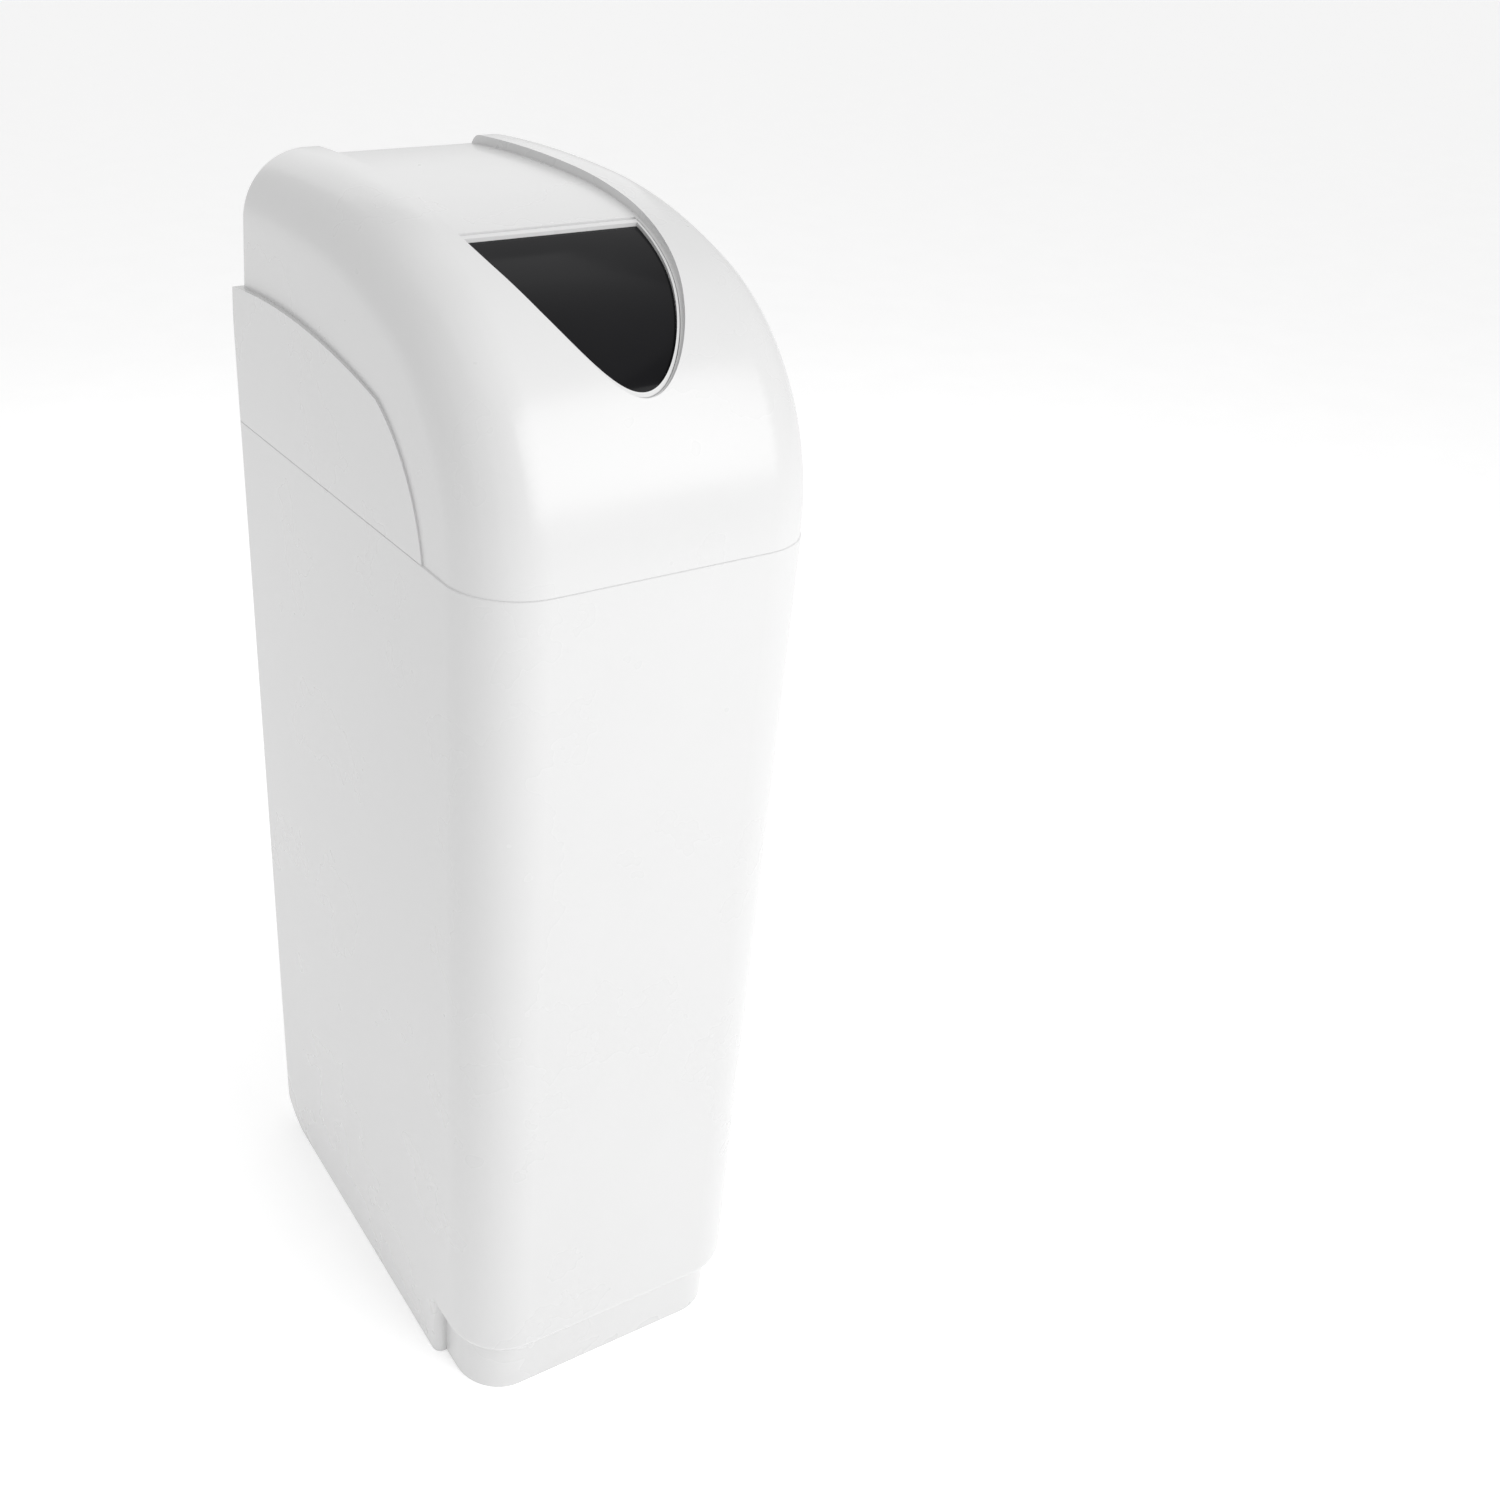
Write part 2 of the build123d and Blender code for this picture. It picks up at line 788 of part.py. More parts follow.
def tank_boot():
    outer = tank_radius + seat_clearance + boot_wall
    boot = along_z(spot(0, tank_y, outer), floor_thickness, floor_thickness + boot_height)
    lower = boot.edges().filter_by(lambda e: e.center().Z < floor_thickness + edge_margin)
    boot = fillet(lower, boot_edge_radius)
    return boot - vessel(tank_radius + seat_clearance, tank_bottom, tank_shoulder, tank_dome_height)


riser_top = flange_top
inner_crown = crown_radius(tank_radius - tank_wall, tank_dome_height)
crown_sag = inner_crown - math.sqrt(inner_crown ** 2 - basket_radius ** 2)
basket_bottom = tank_bottom + tank_wall + crown_sag + seat_clearance


def riser_tube():
    outline = ring(0, tank_y, riser_radius, riser_radius - riser_wall)
    return along_z(outline, basket_bottom + riser_lift, riser_top)


def lower_basket():
    basket = along_z(spot(0, tank_y, basket_radius), basket_bottom, basket_bottom + basket_height)
    socket = spot(0, tank_y, riser_radius + seat_clearance / 2)
    return basket - along_z(socket, basket_bottom + riser_lift, basket_bottom + basket_height)


def upper_basket():
    top = neck_top - thread_length
    outline = ring(0, tank_y, upper_basket_radius, riser_radius + seat_clearance / 2)
    return along_z(outline, top - upper_basket_height, top)


def resin_bed():
    inside = tank_radius - tank_wall - seat_clearance
    low = tank_bottom + tank_wall + seat_clearance
    bed = vessel(inside, low, tank_shoulder, tank_dome_height)
    bed = bed & along_z(spot(0, tank_y, tank_radius), low, tank_bottom + resin_height)
    bed -= along_z(spot(0, tank_y, riser_radius + seat_clearance), low, neck_top)
    basket_hole = spot(0, tank_y, basket_radius + seat_clearance)
    return bed - along_z(basket_hole, 0, basket_bottom + basket_height + seat_clearance)


# The valve body casting with its neck, barrel, rear ports, side bosses and gussets
def valve_body():
    neck = neck_bore_radius - thread_clearance
    body = along_z(spot(0, tank_y, neck), neck_top - thread_length, neck_top)
    body += along_z(spot(0, tank_y, flange_radius), neck_top, flange_top)
    body += along_z(spot(0, barrel_y, barrel_radius), flange_top, barrel_top)
    rib_front = barrel_y - barrel_radius - barrel_rib_rise
    rib = patch(-barrel_rib / 2, barrel_rib / 2, rib_front, barrel_y)
    body += along_z(rib, flange_top, barrel_top)
    for side in (-1, 1):
        body += along_y(spot(side * port_x, port_z, port_radius), barrel_y, port_face_y)
        collar = spot(side * port_x, port_z, port_collar_radius)
        body += along_y(collar, port_face_y - port_collar, port_face_y)
    body += along_x(spot(barrel_y, port_z, boss_radius), -boss_reach, 0)
    body += Pos(-boss_bulge_reach + boss_bulge_radius / 2, barrel_y, port_z) * Sphere(boss_bulge_radius)
    body += along_x(spot(drain_y, drain_z, fitting_radius), 0, drain_reach)
    body += along_x(spot(brine_y, brine_z, fitting_radius), 0, brine_reach)
    foot = flange_radius - gusset_thickness
    gusset_top = brine_z + gusset_thickness
    gusset = polygon((0, flange_top), (foot, flange_top), (foot - gusset_length, gusset_top), (0, gusset_top))
    body += along_y(gusset, barrel_y - gusset_thickness / 2, barrel_y + gusset_thickness / 2)
    body -= along_z(spot(0, barrel_y, barrel_bore_radius), flange_top + barrel_floor, barrel_top)
    body -= along_z(spot(0, tank_y, riser_radius + seat_clearance / 2), neck_top - thread_length, flange_top)
    passage = spot(0, tank_y, valve_bore_radius - riser_wall * 2)
    body -= along_z(passage, flange_top - edge_margin, flange_top + barrel_floor * 2)
    for side in (-1, 1):
        socket = spot(side * port_x, port_z, spigot_radius + spigot_clearance)
        body -= along_y(socket, port_face_y - port_socket_depth, port_face_y)
        body -= along_y(spot(side * port_x, port_z, port_bore_radius), barrel_y, port_face_y)
    cross = spot(barrel_y, port_z, port_bore_radius / 2)
    body -= along_x(cross, -port_x, port_x)
    line_seat = spot(brine_y, brine_z, line_radius + seat_clearance)
    body -= along_x(line_seat, brine_reach - overrun / 2, brine_reach)
    groove = ring(0, tank_y, neck + seat_clearance, neck - o_ring_section - seat_clearance)
    return body - along_z(groove, neck_top - o_ring_section - seat_clearance, neck_top)


def tank_o_ring():
    neck = neck_bore_radius - thread_clearance
    outline = ring(0, tank_y, neck, neck - o_ring_section)
    return along_z(outline, neck_top - o_ring_section - seat_clearance, neck_top)


def seal_stack():
    outline = ring(0, barrel_y, barrel_bore_radius - seat_clearance / 2, piston_radius + seal_clearance)
    first = flange_top + barrel_floor + seal_lift
    inner = ring(0, barrel_y, barrel_bore_radius - spacer_outer_gap, piston_radius + spacer_inner_gap)
    top = first + seal_pitch * (seal_count - 1) + seal_height
    stack = along_z(inner, flange_top + barrel_floor, barrel_top)
    for index in range(seal_count):
        low = first + seal_pitch * index
        stack += along_z(outline, low, min(low + seal_height, top))
    return stack


def end_plug():
    plug = along_z(ring(0, barrel_y, plug_radius, rod_radius + bore_clearance), barrel_top, plug_top)
    for place in bracket_screw_places():
        plug -= along_z(spot(place[0], place[1], screw_radius), barrel_top, plug_top)
    return plug


# Piston with its rod and the slotted yoke that the crank drives
def valve_piston():
    piston = along_z(spot(0, barrel_y, piston_radius), piston_bottom, piston_top)
    piston += along_z(spot(0, barrel_y, rod_radius), piston_top, crank_z)
    yoke_low = crank_z - yoke_height / 2
    yoke_high = crank_z + yoke_height / 2
    yoke = patch(-yoke_half_width, yoke_half_width, yoke_low, yoke_high)
    slot_low = crank_z - yoke_slot_height / 2
    slot_high = crank_z + yoke_slot_height / 2
    yoke -= patch(-yoke_slot_half, yoke_slot_half, slot_low, slot_high)
    frame = along_y(yoke, yoke_front_y, yoke_front_y + yoke_depth)
    slot = patch(-yoke_slot_half, yoke_slot_half, slot_low, slot_high)
    return (piston + frame) - along_y(slot, yoke_front_y, yoke_front_y + yoke_depth)


def mixing_nut():
    nut_z = flange_top + side_nut_rise
    end = -boss_reach
    nut = along_x(hexagon(barrel_y, nut_z, side_nut_flats), end - side_nut_length, end)
    return nut - along_x(spot(barrel_y, nut_z, plug_stem_radius + bore_clearance), end - side_nut_length, end)


def mixing_screw():
    nut_z = flange_top + side_nut_rise
    stem_end = -boss_reach - side_nut_length - plug_stem_length
    knob_end = stem_end - plug_knob_length
    plug = along_x(spot(barrel_y, nut_z, plug_stem_radius), stem_end, -boss_reach)
    plug += along_x(spot(barrel_y, nut_z, plug_knob_radius), knob_end, stem_end)
    low = nut_z - plug_slot_width / 2
    slot = patch(barrel_y - plug_knob_radius, barrel_y + plug_knob_radius, low, low + plug_slot_width)
    return plug - along_x(slot, knob_end, knob_end + plug_slot_depth)


def fitting_nut(y, z, start, bore):
    nut = along_x(hexagon(y, z, fitting_nut_flats), start, start + fitting_nut_length)
    end = start + fitting_nut_length
    outer = nut.edges().filter_by(lambda e: e.center().X > end - seat_clearance)
    nut = chamfer(outer, fitting_chamfer)
    return nut - along_x(spot(y, z, bore), start, end)


def drain_fitting():
    nut = fitting_nut(drain_y, drain_z, drain_reach, drain_bore_radius)
    start = drain_reach + fitting_nut_length
    outline = ring(drain_y, drain_z, drain_barb_radius, drain_bore_radius)
    barb = along_x(outline, start, start + drain_barb_length)
    return nut + barb


def brine_nut():
    return fitting_nut(brine_y, brine_z, brine_reach, line_radius + seat_clearance / 2)


# Front outline of the timer head: wider at the top, arched top and bottom, grown by a border
def head_outline(border):
    top = bezel_top_width / 2 + border
    bottom = bezel_bottom_width / 2 + border
    rise = bezel_height / 2 + border
    face = make_face(
        ThreePointArc((-top, rise), (0, rise + bezel_top_arch), (top, rise))
        + Line((top, rise), (bottom, -rise))
        + ThreePointArc((bottom, -rise), (0, -rise - bezel_bottom_arch), (-bottom, -rise))
        + Line((-bottom, -rise), (-top, rise))
    )
    radius = max(bezel_corner_radius + border, bezel_corner_radius * least_corner_share)
    return Pos(0, gear_z) * fillet(face.vertices(), radius)


def front_bezel():
    opening = head_outline(-bezel_wall)
    bezel = along_y(head_outline(0) - opening, bezel_front_y, bezel_back_y)
    rim = opening - head_outline(-bezel_wall - bezel_ledge)
    bezel += along_y(rim, plate_back_y, bracket_y)
    low = gear_z - bezel_height / 2 - bezel_bottom_arch + bezel_wall / 2
    tab = polygon(
        (-tab_bottom_half, low),
        (tab_bottom_half, low),
        (tab_top_half, low + tab_height - bezel_wall / 2),
        (-tab_top_half, low + tab_height - bezel_wall / 2),
    )
    return bezel + along_y(tab, bezel_front_y, bezel_front_y + tab_thickness)


def front_plate():
    face = head_outline(-bezel_wall - plate_edge_gap)
    face -= spot(0, gear_z, day_shaft_radius + running_gap)
    face -= spot(program_x, program_z, wheel_stud_radius + running_gap)
    face -= spot(pinion_x, gear_z, pinion_shaft_radius + running_gap)
    return along_y(face, plate_y, plate_back_y)


def trim_ring():
    face = head_outline(-trim_step) - head_outline(-bezel_wall)
    return along_y(face, bezel_back_y, trim_back_y)


def cover_solid(border, start, end, taper):
    front = Plane(origin=(0, start, 0), x_dir=(1, 0, 0), z_dir=(0, -1, 0)) * head_outline(border)
    back = Plane(origin=(0, end, 0), x_dir=(1, 0, 0), z_dir=(0, -1, 0)) * head_outline(border - taper)
    return loft([front, back])


def back_cover():
    cover = cover_solid(cover_overhang, trim_back_y, cover_back_y, cover_taper)
    cover -= cover_solid(cover_overhang - cover_wall, trim_back_y, cover_back_y - cover_wall, cover_taper)
    opening = spot(0, barrel_y, barrel_radius + barrel_rib_rise + seat_clearance)
    return cover - along_z(opening, gear_z - bezel_height, gear_z)


def cover_badge():
    y = trim_back_y + badge_set_back
    sink = cover_taper * badge_set_back / cover_depth
    top = gear_z + bezel_height / 2 + bezel_top_arch + cover_overhang - sink
    lean = math.degrees(math.atan(cover_taper / cover_depth))
    return Pos(0, y, top) * Rot(-lean, 0, 0) * extrude(Circle(badge_radius), badge_thickness)


def bracket_screw_places():
    half = screw_spacing / 2
    return ((-half, barrel_y), (half, barrel_y))


# Vertical back plate with a foot that screws onto the valve barrel
def drive_bracket():
    face = panel(0, gear_z, bracket_half_width * 2, bracket_half_height * 2)
    face -= spot(0, gear_z, day_shaft_radius + bore_clearance)
    face -= spot(pinion_x, gear_z, pinion_shaft_radius + bore_clearance)
    bracket = along_y(face, bracket_y, bracket_back_y)
    foot = patch(-foot_half_width, foot_half_width, bracket_back_y, bracket_back_y + foot_length)
    foot -= spot(0, barrel_y, foot_hole_radius)
    for place in bracket_screw_places():
        foot -= spot(place[0], place[1], screw_radius)
    bracket += along_z(foot, plug_top, plug_top + bracket_thickness)
    stud = spot(program_x, program_z, wheel_stud_radius)
    dial_y = program_y - running_gap - dial_thickness - dial_ring_rise
    return bracket + along_y(stud, dial_y, bracket_y)


def bracket_screws():
    screws = []
    for place in bracket_screw_places():
        low = barrel_top
        high = plug_top + bracket_thickness
        shank = along_z(spot(place[0], place[1], screw_radius), low, high)
        head = hexagon(place[0], place[1], screw_head_radius * 2)
        screws.append(shank + along_z(head, high, high + screw_head_height))
    return Compound(children=screws)


def drive_motor():
    motor = along_y(spot(pinion_x, gear_z, motor_radius), bracket_back_y, bracket_back_y + motor_length)
    shaft_hole = spot(pinion_x, gear_z, pinion_shaft_radius + bore_clearance)
    return motor - along_y(shaft_hole, bracket_back_y, bracket_back_y + motor_hub_radius)


# Straight-flanked wheel seen from the front, with its first tooth at a phase angle
def gear_face(teeth, phase):
    pitch_radius = gear_module * teeth / 2
    root = pitch_radius - gear_module * tooth_root_share
    tip = pitch_radius + gear_module * tooth_addendum_share
    step = full_turn / teeth
    flanks = (
        (root, -tooth_root_width_share),
        (tip, -tooth_tip_width_share),
        (tip, tooth_tip_width_share),
        (root, tooth_root_width_share),
    )
    points = []
    for index in range(teeth):
        for radius, share in flanks:
            angle = math.radians(phase + step * (index + share / 2))
            points.append((radius * math.cos(angle), radius * math.sin(angle)))
    return polygon(*points)


def day_gear():
    face = Pos(0, gear_z) * gear_face(day_teeth, 0)
    face -= spot(0, gear_z, day_shaft_radius + bore_clearance)
    return along_y(face, day_y, day_back_y)


# A tooth gap of the pinion faces the first tooth of the big wheel
def red_pinion():
    gap_phase = half_turn / pinion_teeth
    pinion = along_y(Pos(pinion_x, gear_z) * gear_face(pinion_teeth, gap_phase), day_y, day_back_y)
    shaft = spot(pinion_x, gear_z, pinion_shaft_radius)
    pinion += along_y(shaft, day_y, bracket_back_y + motor_hub_radius - running_gap)
    button = spot(pinion_x, gear_z, pinion_button_radius)
    return pinion + along_y(button, day_y - pinion_button_length, day_y)


def pinion_carrier():
    face = ring(pinion_x, gear_z, carrier_radius, pinion_shaft_radius + running_gap)
    carrier = along_y(face, plate_y - carrier_thickness, plate_y)
    recess = ring(pinion_x, gear_z, carrier_radius * carrier_recess_share, carrier_radius / 2)
    carrier -= along_y(recess, plate_y - carrier_thickness, plate_y - carrier_thickness / 2)
    gear_room = spot(0, gear_z, day_pitch_radius + gear_module * 2)
    return carrier - along_y(gear_room, day_y, day_back_y + running_gap)


def regen_knob():
    back = day_y
    front = back - knob_disc_thickness
    knob = along_y(spot(0, gear_z, knob_radius), front, back - running_gap)
    grip = panel(0, gear_z, knob_grip_width, knob_grip_length)
    knob += along_y(grip, front - knob_grip_height, front)
    low = gear_z - knob_scoop_length / 2
    scoop_half = math.sqrt(knob_scoop_radius ** 2 - (knob_scoop_radius - knob_scoop_depth) ** 2)
    for side in (-1, 1):
        centre = side * (knob_grip_width / 2 + scoop_half)
        scoop = spot(centre, front - knob_scoop_radius + knob_scoop_depth, knob_scoop_radius)
        knob -= along_z(scoop, low, low + knob_scoop_length)
    return knob


def knob_plate():
    front = day_y - knob_disc_thickness - knob_grip_height
    half = knob_plate_width / 2
    face = patch(-half, half, gear_z - knob_plate_length / 2, gear_z + knob_plate_length / 2)
    return along_y(face, front - knob_plate_thickness, front)


# Cross shaft from the knob to the crank, with its gear behind the bracket
def drive_shaft():
    crank_back = yoke_front_y - crank_gap
    crank_front = crank_back - crank_disc_thickness
    shaft = along_y(spot(0, gear_z, day_shaft_radius), day_y - running_gap, crank_front)
    gear_start = bracket_back_y + running_gap
    shaft += along_y(spot(0, gear_z, drive_gear_radius), gear_start, gear_start + drive_gear_thickness)
    shaft += along_y(spot(0, gear_z, crank_disc_radius), crank_front, crank_back - crank_gap)
    return shaft + along_y(spot(0, crank_z, crank_pin_radius), crank_back - crank_gap, crank_back)


def program_wheel():
    face = Pos(program_x, program_z) * gear_face(program_teeth, meter_angle)
    face -= spot(program_x, program_z, wheel_stud_radius + bore_clearance)
    return along_y(face, program_y, program_back_y)


def capacity_dial():
    back = program_y - running_gap
    bore = wheel_stud_radius + bore_clearance
    dial = along_y(ring(program_x, program_z, dial_radius, bore), back - dial_thickness, back)
    rise_front = back - dial_thickness - dial_ring_rise
    raised = ring(program_x, program_z, dial_ring_radius, bore)
    return dial + along_y(raised, rise_front, back - dial_thickness)


def dial_hub():
    back = program_y - running_gap - dial_thickness - dial_ring_rise
    return along_y(spot(program_x, program_z, dial_hub_radius), back - dial_hub_length, back)


def meter_housing():
    corner_x = bezel_bottom_width / 2 - bezel_wall * 2
    corner = patch(meter_x, corner_x, meter_z - meter_housing_radius, meter_z + meter_housing_radius)
    face = spot(meter_x, meter_z, meter_housing_radius) + corner
    face = face & head_outline(-bezel_wall - plate_edge_gap)
    housing = along_y(face, plate_y - meter_housing_thickness, plate_y)
    return housing + along_y(spot(meter_x, meter_z, meter_post_radius), program_y - running_gap, plate_y)


def meter_pinion():
    gap_phase = meter_angle + half_turn + half_turn / meter_teeth
    face = Pos(meter_x, meter_z) * gear_face(meter_teeth, gap_phase)
    face -= spot(meter_x, meter_z, meter_post_radius + bore_clearance)
    return along_y(face, program_y, program_back_y)


def lens(x, rise):
    return along_y(spot(x, gear_z + rise, lens_radius), plate_y - lens_height, plate_y)


# Bypass casting: two rotor housings, front spigots, rear stubs, yoke frames, side ports and lugs
def bypass_body():
    low = port_z - housing_drop
    high = port_z + housing_rise
    front_y = port_face_y - spigot_entry
    waist = patch(-port_x, port_x, port_z - waist_drop, port_z + waist_rise)
    body = along_y(waist, bypass_y - waist_half_depth, bypass_y + waist_half_depth)
    side_reach = port_x + housing_radius + side_stub_length
    body += along_x(spot(bypass_y, port_z, side_stub_radius), -side_reach, side_reach)
    for side in (-1, 1):
        x = side * port_x
        body += along_z(spot(x, bypass_y, housing_radius), low, high)
        body += along_z(spot(x, bypass_y, collar_radius), high - collar_height, high)
        body += along_y(spot(x, port_z, spigot_radius), front_y, bypass_y)
        shoulder = spot(x, port_z, spigot_radius + frame_plate)
        body += along_y(shoulder, port_face_y + clip_thickness, bypass_y)
        body += along_y(spot(x, port_z, stub_radius), bypass_y, stub_end_y)
        frame_back = bypass_y + frame_reach
        frame = panel(x, port_z, frame_half_width * 2, frame_half_height * 2)
        window_low = port_z - frame_half_height + frame_plate
        window_high = port_z + frame_half_height - frame_plate
        window = patch(x - frame_half_width, x + frame_half_width, window_low, window_high)
        body += along_y(frame - window, bypass_y, frame_back)
        body += along_y(frame, frame_back - frame_plate, frame_back)
        lug_in = x + side * spigot_radius
        lug_out = lug_in + side * lug_length
        lug = panel((lug_in + lug_out) / 2, port_z, lug_length, lug_half_height * 2)
        body += along_y(lug, port_face_y + clip_thickness, port_face_y + clip_thickness + lug_thickness)
    for side in (-1, 1):
        x = side * port_x
        body -= along_z(spot(x, bypass_y, rotor_radius + bore_clearance), low + rotor_floor, high)
        body -= along_y(spot(x, port_z, spigot_bore_radius), front_y, stub_end_y)
        end = side * side_reach
        cup = side * (side_reach - side_plug_length)
        body -= along_x(spot(bypass_y, port_z, side_plug_radius), min(end, cup), max(end, cup))
        groove = ring(x, port_z, spigot_radius, spigot_radius - o_ring_section)
        for index in (1, 2):
            start = front_y + o_ring_section * index * 2
            body -= along_y(groove, start, start + o_ring_section)
        screw = clip_screw_place(side)
        body -= along_y(spot(screw[0], screw[1], clip_screw_radius), port_face_y, port_face_y + lug_thickness)
    return body


def clip_screw_place(side):
    return (side * (port_x + port_collar_radius + clip_gap + clip_thickness + clip_width / 2), port_z)


def spigot_o_rings():
    rings = []
    front_y = port_face_y - spigot_entry
    for side in (-1, 1):
        for index in (1, 2):
            start = front_y + o_ring_section * index * 2
            outer = spigot_radius + spigot_clearance / 2
            outline = ring(side * port_x, port_z, outer, spigot_radius - o_ring_section)
            rings.append(along_y(outline, start, start + o_ring_section))
    return Compound(children=rings)


# Bypass rotor with its through bore, cap disc and hollow rectangular grip
def bypass_rotor(side):
    x = side * port_x
    low = port_z - housing_drop + rotor_floor
    high = port_z + housing_rise
    rotor = along_z(spot(x, bypass_y, rotor_radius), low, high)
    rotor -= along_y(spot(x, port_z, spigot_bore_radius), bypass_y - rotor_radius, bypass_y + rotor_radius)
    cap_top = high + rotor_cap_height
    rotor += along_z(spot(x, bypass_y, rotor_cap_radius), high, cap_top)
    grip = panel(x, bypass_y, grip_length, grip_width)
    inner_length = grip_length - grip_wall * 2
    inner_width = grip_width - grip_wall * 2
    hollow = panel(x, bypass_y, inner_length, inner_width)
    web = panel(x, bypass_y, grip_wall, inner_width)
    rotor += along_z(grip - hollow, cap_top, cap_top + grip_height)
    return rotor + along_z(web, cap_top, cap_top + grip_height - grip_wall)


# Spring clip: a screwed plate whose folded edge hooks over the collar of the valve's port
def bypass_clip(side):
    x, z = clip_screw_place(side)
    low = z - clip_half_height
    high = z + clip_half_height
    leg_in = side * (port_x + port_collar_radius + clip_gap)
    leg_out = leg_in + side * clip_thickness
    plate_end = x + side * clip_width / 2
    plate = patch(min(leg_in, plate_end), max(leg_in, plate_end), low, high)
    plate -= spot(x, z, clip_screw_radius + seat_clearance / 2)
    clip = along_y(plate, port_face_y, port_face_y + clip_thickness)
    lip_back = port_face_y - port_collar - clip_gap
    leg = patch(min(leg_in, leg_out), max(leg_in, leg_out), low, high)
    clip += along_y(leg, lip_back - clip_thickness, port_face_y)
    lip_end = leg_in - side * clip_lip
    lip = patch(min(lip_end, leg_out), max(lip_end, leg_out), low, high)
    return clip + along_y(lip, lip_back - clip_thickness, lip_back)


def bypass_clips():
    return Compound(children=[bypass_clip(-1), bypass_clip(1)])


def clip_screws():
    screws = []
    for side in (-1, 1):
        x, z = clip_screw_place(side)
        shank = along_y(spot(x, z, clip_screw_radius), port_face_y, port_face_y + lug_thickness)
        head = hexagon(x, z, clip_screw_head_radius * 2)
        screws.append(shank + along_y(head, port_face_y - clip_screw_head_height, port_face_y))
    return Compound(children=screws)


def side_port_plugs():
    plugs = []
    side_reach = port_x + housing_radius + side_stub_length
    for side in (-1, 1):
        end = side * side_reach
        inner = side * (side_reach - side_plug_length)
        cup = side * (side_reach - side_plug_cup)
        plug = along_x(spot(bypass_y, port_z, side_plug_radius), min(end, inner), max(end, inner))
        hollow = spot(bypass_y, port_z, side_plug_cup_radius)
        plugs.append(plug - along_x(hollow, min(end, cup), max(end, cup)))
    return Compound(children=plugs)


def brine_well():
    well = along_z(ring(well_x, well_y, well_radius, well_radius - well_wall), well_bottom, well_top)
    for index in range(well_slot_count):
        opening = patch(0, well_radius + well_wall, -well_slot_width / 2, well_slot_width / 2)
        slot = Rot(0, 0, full_turn / well_slot_count * index) * opening
        low = well_bottom + well_slot_lift
        well -= along_z(Pos(well_x, well_y) * slot, low, low + well_slot_height)
    hole = spot(well_x, line_well_z, float_spigot_radius + seat_clearance)
    return well - along_y(hole, well_y, well_y + well_radius + overrun)


def brine_well_cap():
    outer = well_radius + cap_lip
    cap = along_z(spot(well_x, well_y, outer), well_top, well_top + cap_thickness)
    inner = well_radius - well_wall - cap_gap
    return cap + along_z(ring(well_x, well_y, inner, inner - well_wall), well_top - cap_skirt, well_top)


# Brine line: one tube along a route of straights and quarter turns from the valve to the brine well
def brine_line():
    start_x = brine_reach - overrun / 2 + running_gap
    turn_x = well_x - line_turn_radius
    bend = line_bend_radius
    turn_y = brine_y - line_turn_radius
    drop_y = line_drop_y - bend
    low_z = line_well_z + bend
    end_y = well_y + line_end_set_back
    quarter = math.sqrt(1 / 2)
    turn_mid = (turn_x + line_turn_radius * quarter, brine_y - line_turn_radius * (1 - quarter), brine_z)
    drop_mid = (well_x, line_drop_y - bend * quarter, brine_z - bend * (1 - quarter))
    low_mid = (well_x, drop_y - bend * (1 - quarter), low_z - bend * quarter)
    route = (
        Line((start_x, brine_y, brine_z), (turn_x, brine_y, brine_z))
        + ThreePointArc((turn_x, brine_y, brine_z), turn_mid, (well_x, turn_y, brine_z))
        + Line((well_x, turn_y, brine_z), (well_x, line_drop_y, brine_z))
        + ThreePointArc((well_x, line_drop_y, brine_z), drop_mid, (well_x, drop_y, brine_z - bend))
        + Line((well_x, drop_y, brine_z - bend), (well_x, drop_y, low_z))
        + ThreePointArc((well_x, drop_y, low_z), low_mid, (well_x, drop_y - bend, line_well_z))
        + Line((well_x, drop_y - bend, line_well_z), (well_x, end_y, line_well_z))
    )
    start = Plane(origin=(start_x, brine_y, brine_z), x_dir=(0, 1, 0), z_dir=(1, 0, 0))
    return sweep(start * Circle(line_radius), path=route)


# Safety float valve hanging in the brine well, with the arm that carries the float rod
def float_valve():
    low = float_valve_top - float_valve_height
    body = along_z(spot(well_x, well_y, float_valve_radius), low, float_valve_top)
    hanger = panel(0, 0, (well_radius - well_wall - cap_gap) * 2, arm_thickness * 2)
    end_y = well_y + line_end_set_back + overrun / 2
    body += along_y(spot(well_x, line_well_z, float_spigot_radius), well_y, end_y)
    arm = patch(well_x - float_offset - arm_thickness, well_x, well_y - arm_thickness, well_y + arm_thickness)
    arm -= spot(well_x - float_offset, well_y, float_rod_radius + bore_clearance)
    body += along_z(arm, low, low + arm_thickness)
    inside = Pos(well_x, well_y) * (hanger & Circle(well_radius - well_wall - cap_gap))
    body += along_z(inside, float_valve_top - arm_thickness, float_valve_top)
    line_hole = spot(well_x, line_well_z, line_radius + seat_clearance)
    body -= along_y(line_hole, well_y + line_end_set_back - running_gap, end_y)
    pickup = spot(well_x + pickup_offset / 2, well_y, pickup_radius + seat_clearance)
    return body - along_z(pickup, low, low + float_valve_height * pickup_socket_share)


def air_check():
    low = float_valve_top - float_valve_height
    bottom = floor_thickness + check_lift
    x = well_x + pickup_offset / 2
    tube = along_z(spot(x, well_y, pickup_radius), bottom, low + float_valve_height * pickup_socket_share)
    return tube + along_z(spot(x, well_y, check_radius), floor_thickness, bottom + check_height)


def float_rod():
    low = float_centre_z - float_height / 2 - float_rod_drop
    top = float_valve_top - float_valve_height + float_stop_drop
    return along_z(spot(well_x - float_offset, well_y, float_rod_radius), low, top)


